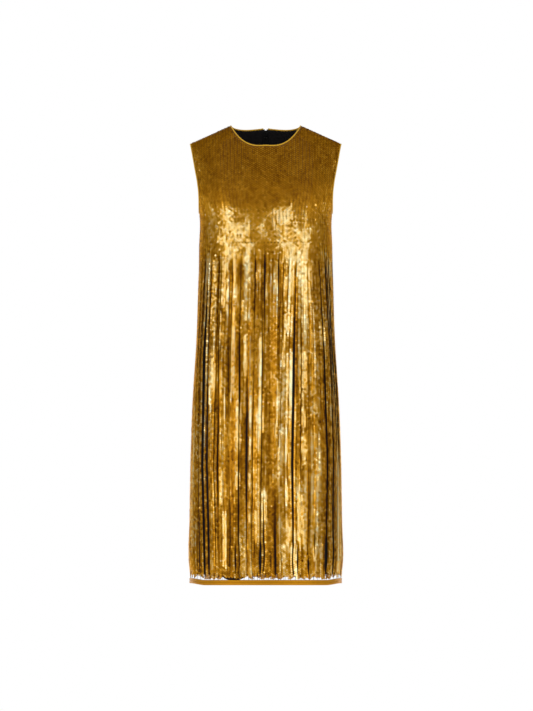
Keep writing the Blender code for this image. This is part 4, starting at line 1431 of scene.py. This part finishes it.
class DRESS_OT_stage(bpy.types.Operator):
    """Pale floor, soft boxes and the camera at the photo's angle"""

    bl_idname = "fringe_dress.stage"
    bl_label = "Stage"

    def execute(self, context):
        scene = context.scene
        scene.view_settings.view_transform = "Standard"
        self.floor()
        self.world(scene)
        for title, bearing, power in (
            ("front", 2 * BRIGHT_BEARING, scene.dress_stage.side_light),
            ("back", 180 - 2 * BRIGHT_BEARING, scene.dress_stage.back_light),
        ):
            for hand in (LEFT, RIGHT):
                turn = math.radians(bearing * hand)
                x, y = LIGHT_AWAY * math.sin(turn), -LIGHT_AWAY * math.cos(turn)
                at = Vector((x, y, LIGHT_HIGH))
                self.light(f"{title}_light_{WORDS[hand]}", at, power)
        self.camera(scene)
        return {"FINISHED"}

    def floor(self):
        bm = bmesh.new()
        bmesh.ops.create_grid(bm, x_segments=1, y_segments=1, size=FLOOR_HALF)
        bmesh.ops.translate(bm, verts=bm.verts, vec=(0, 0, FLOOR_HIGH))
        grey = (0.9, 0.9, 0.9, 1)
        material, tree, shader = new_material("pale_floor", Roughness=0.9, Base_Color=grey)
        glow = node(tree, "ShaderNodeEmission", (0, -300), Strength=1.0)
        path = node(tree, "ShaderNodeLightPath", (-300, 300))
        mix = node(tree, "ShaderNodeMixShader", (300, 0))
        shaders = path.outputs["Is Camera Ray"], shader.outputs[0], glow.outputs[0]
        for socket, value in zip(mix.inputs, shaders):
            feed(tree, socket, value)
        feed(tree, tree.nodes["Material Output"].inputs["Surface"], mix.outputs[0])
        new_piece("floor", bm, material, smooth=False)

    def world(self, scene):
        """White to the camera and on matt surfaces, dim where the sequins mirror it."""
        world = bpy.data.worlds.new("studio")
        world.use_nodes = True
        tree = world.node_tree
        path = node(tree, "ShaderNodeLightPath", (-500, 0))
        tones = (1, 1, 1, 1), (0.36, 0.35, 0.34, 1)
        shade = mix_colours(tree, (-250, 0), path.outputs["Is Glossy Ray"], *tones)
        feed(tree, tree.nodes["Background"].inputs["Color"], shade)
        scene.world = world

    def light(self, name, at, power):
        data = bpy.data.lights.new(name, "AREA")
        data.shape = "RECTANGLE"
        data.size, data.size_y = LIGHT_SIZE
        data.energy = power
        lamp = bpy.data.objects.new(name, data)
        lamp.location = at
        lamp.rotation_euler = (Vector((0, 0, -0.5)) - at).to_track_quat("-Z", "Y").to_euler()
        bpy.context.scene.collection.objects.link(lamp)

    def camera(self, scene):
        data = bpy.data.cameras.new("camera")
        data.sensor_width = SENSOR
        data.lens = SENSOR * CAMERA_AWAY / PHOTO_HIGH
        data.clip_end = 400
        camera = bpy.data.objects.new("camera", data)
        middle = Vector(PHOTO_MIDDLE)
        camera.location = Vector((middle.x, -CAMERA_AWAY, CAMERA_HIGH))
        camera.rotation_euler = (middle - camera.location).to_track_quat("-Z", "Y").to_euler()
        scene.collection.objects.link(camera)
        scene.camera = camera


class DRESS_PT_panel(bpy.types.Panel):
    """Lists the dress's settings and pieces"""

    bl_idname = "DRESS_PT_panel"
    bl_label = "Fringe Dress"
    bl_space_type = "VIEW_3D"
    bl_region_type = "UI"
    bl_category = "Fringe Dress"

    def draw(self, context):
        for group_name, group in SETTINGS:
            for name in group.__annotations__:
                self.layout.prop(getattr(context.scene, group_name), name)
        for operator in OPERATORS:
            self.layout.operator(operator.bl_idname)


SETTINGS = (
    ("dress_sizes", DressSizes),
    ("dress_colours", DressColours),
    ("dress_stage", StageSettings),
)
OPERATORS = (
    DRESS_OT_stage,
    DRESS_OT_yoke,
    DRESS_OT_slip,
    DRESS_OT_fringe,
    DRESS_OT_piping,
    DRESS_OT_hem_band,
    DRESS_OT_zip,
)


def register():
    for name, group in SETTINGS:
        bpy.utils.register_class(group)
        setattr(bpy.types.Scene, name, PointerProperty(type=group))
    for operator in OPERATORS:
        bpy.utils.register_class(operator)
    bpy.utils.register_class(DRESS_PT_panel)


def unregister():
    bpy.utils.unregister_class(DRESS_PT_panel)
    for operator in reversed(OPERATORS):
        bpy.utils.unregister_class(operator)
    for name, group in reversed(SETTINGS):
        delattr(bpy.types.Scene, name)
        bpy.utils.unregister_class(group)


def main():
    """Makes every piece in order."""
    register()
    for operator in OPERATORS:
        group, name = operator.bl_idname.split(".")
        getattr(getattr(bpy.ops, group), name)()


if __name__ == "__main__":
    main()
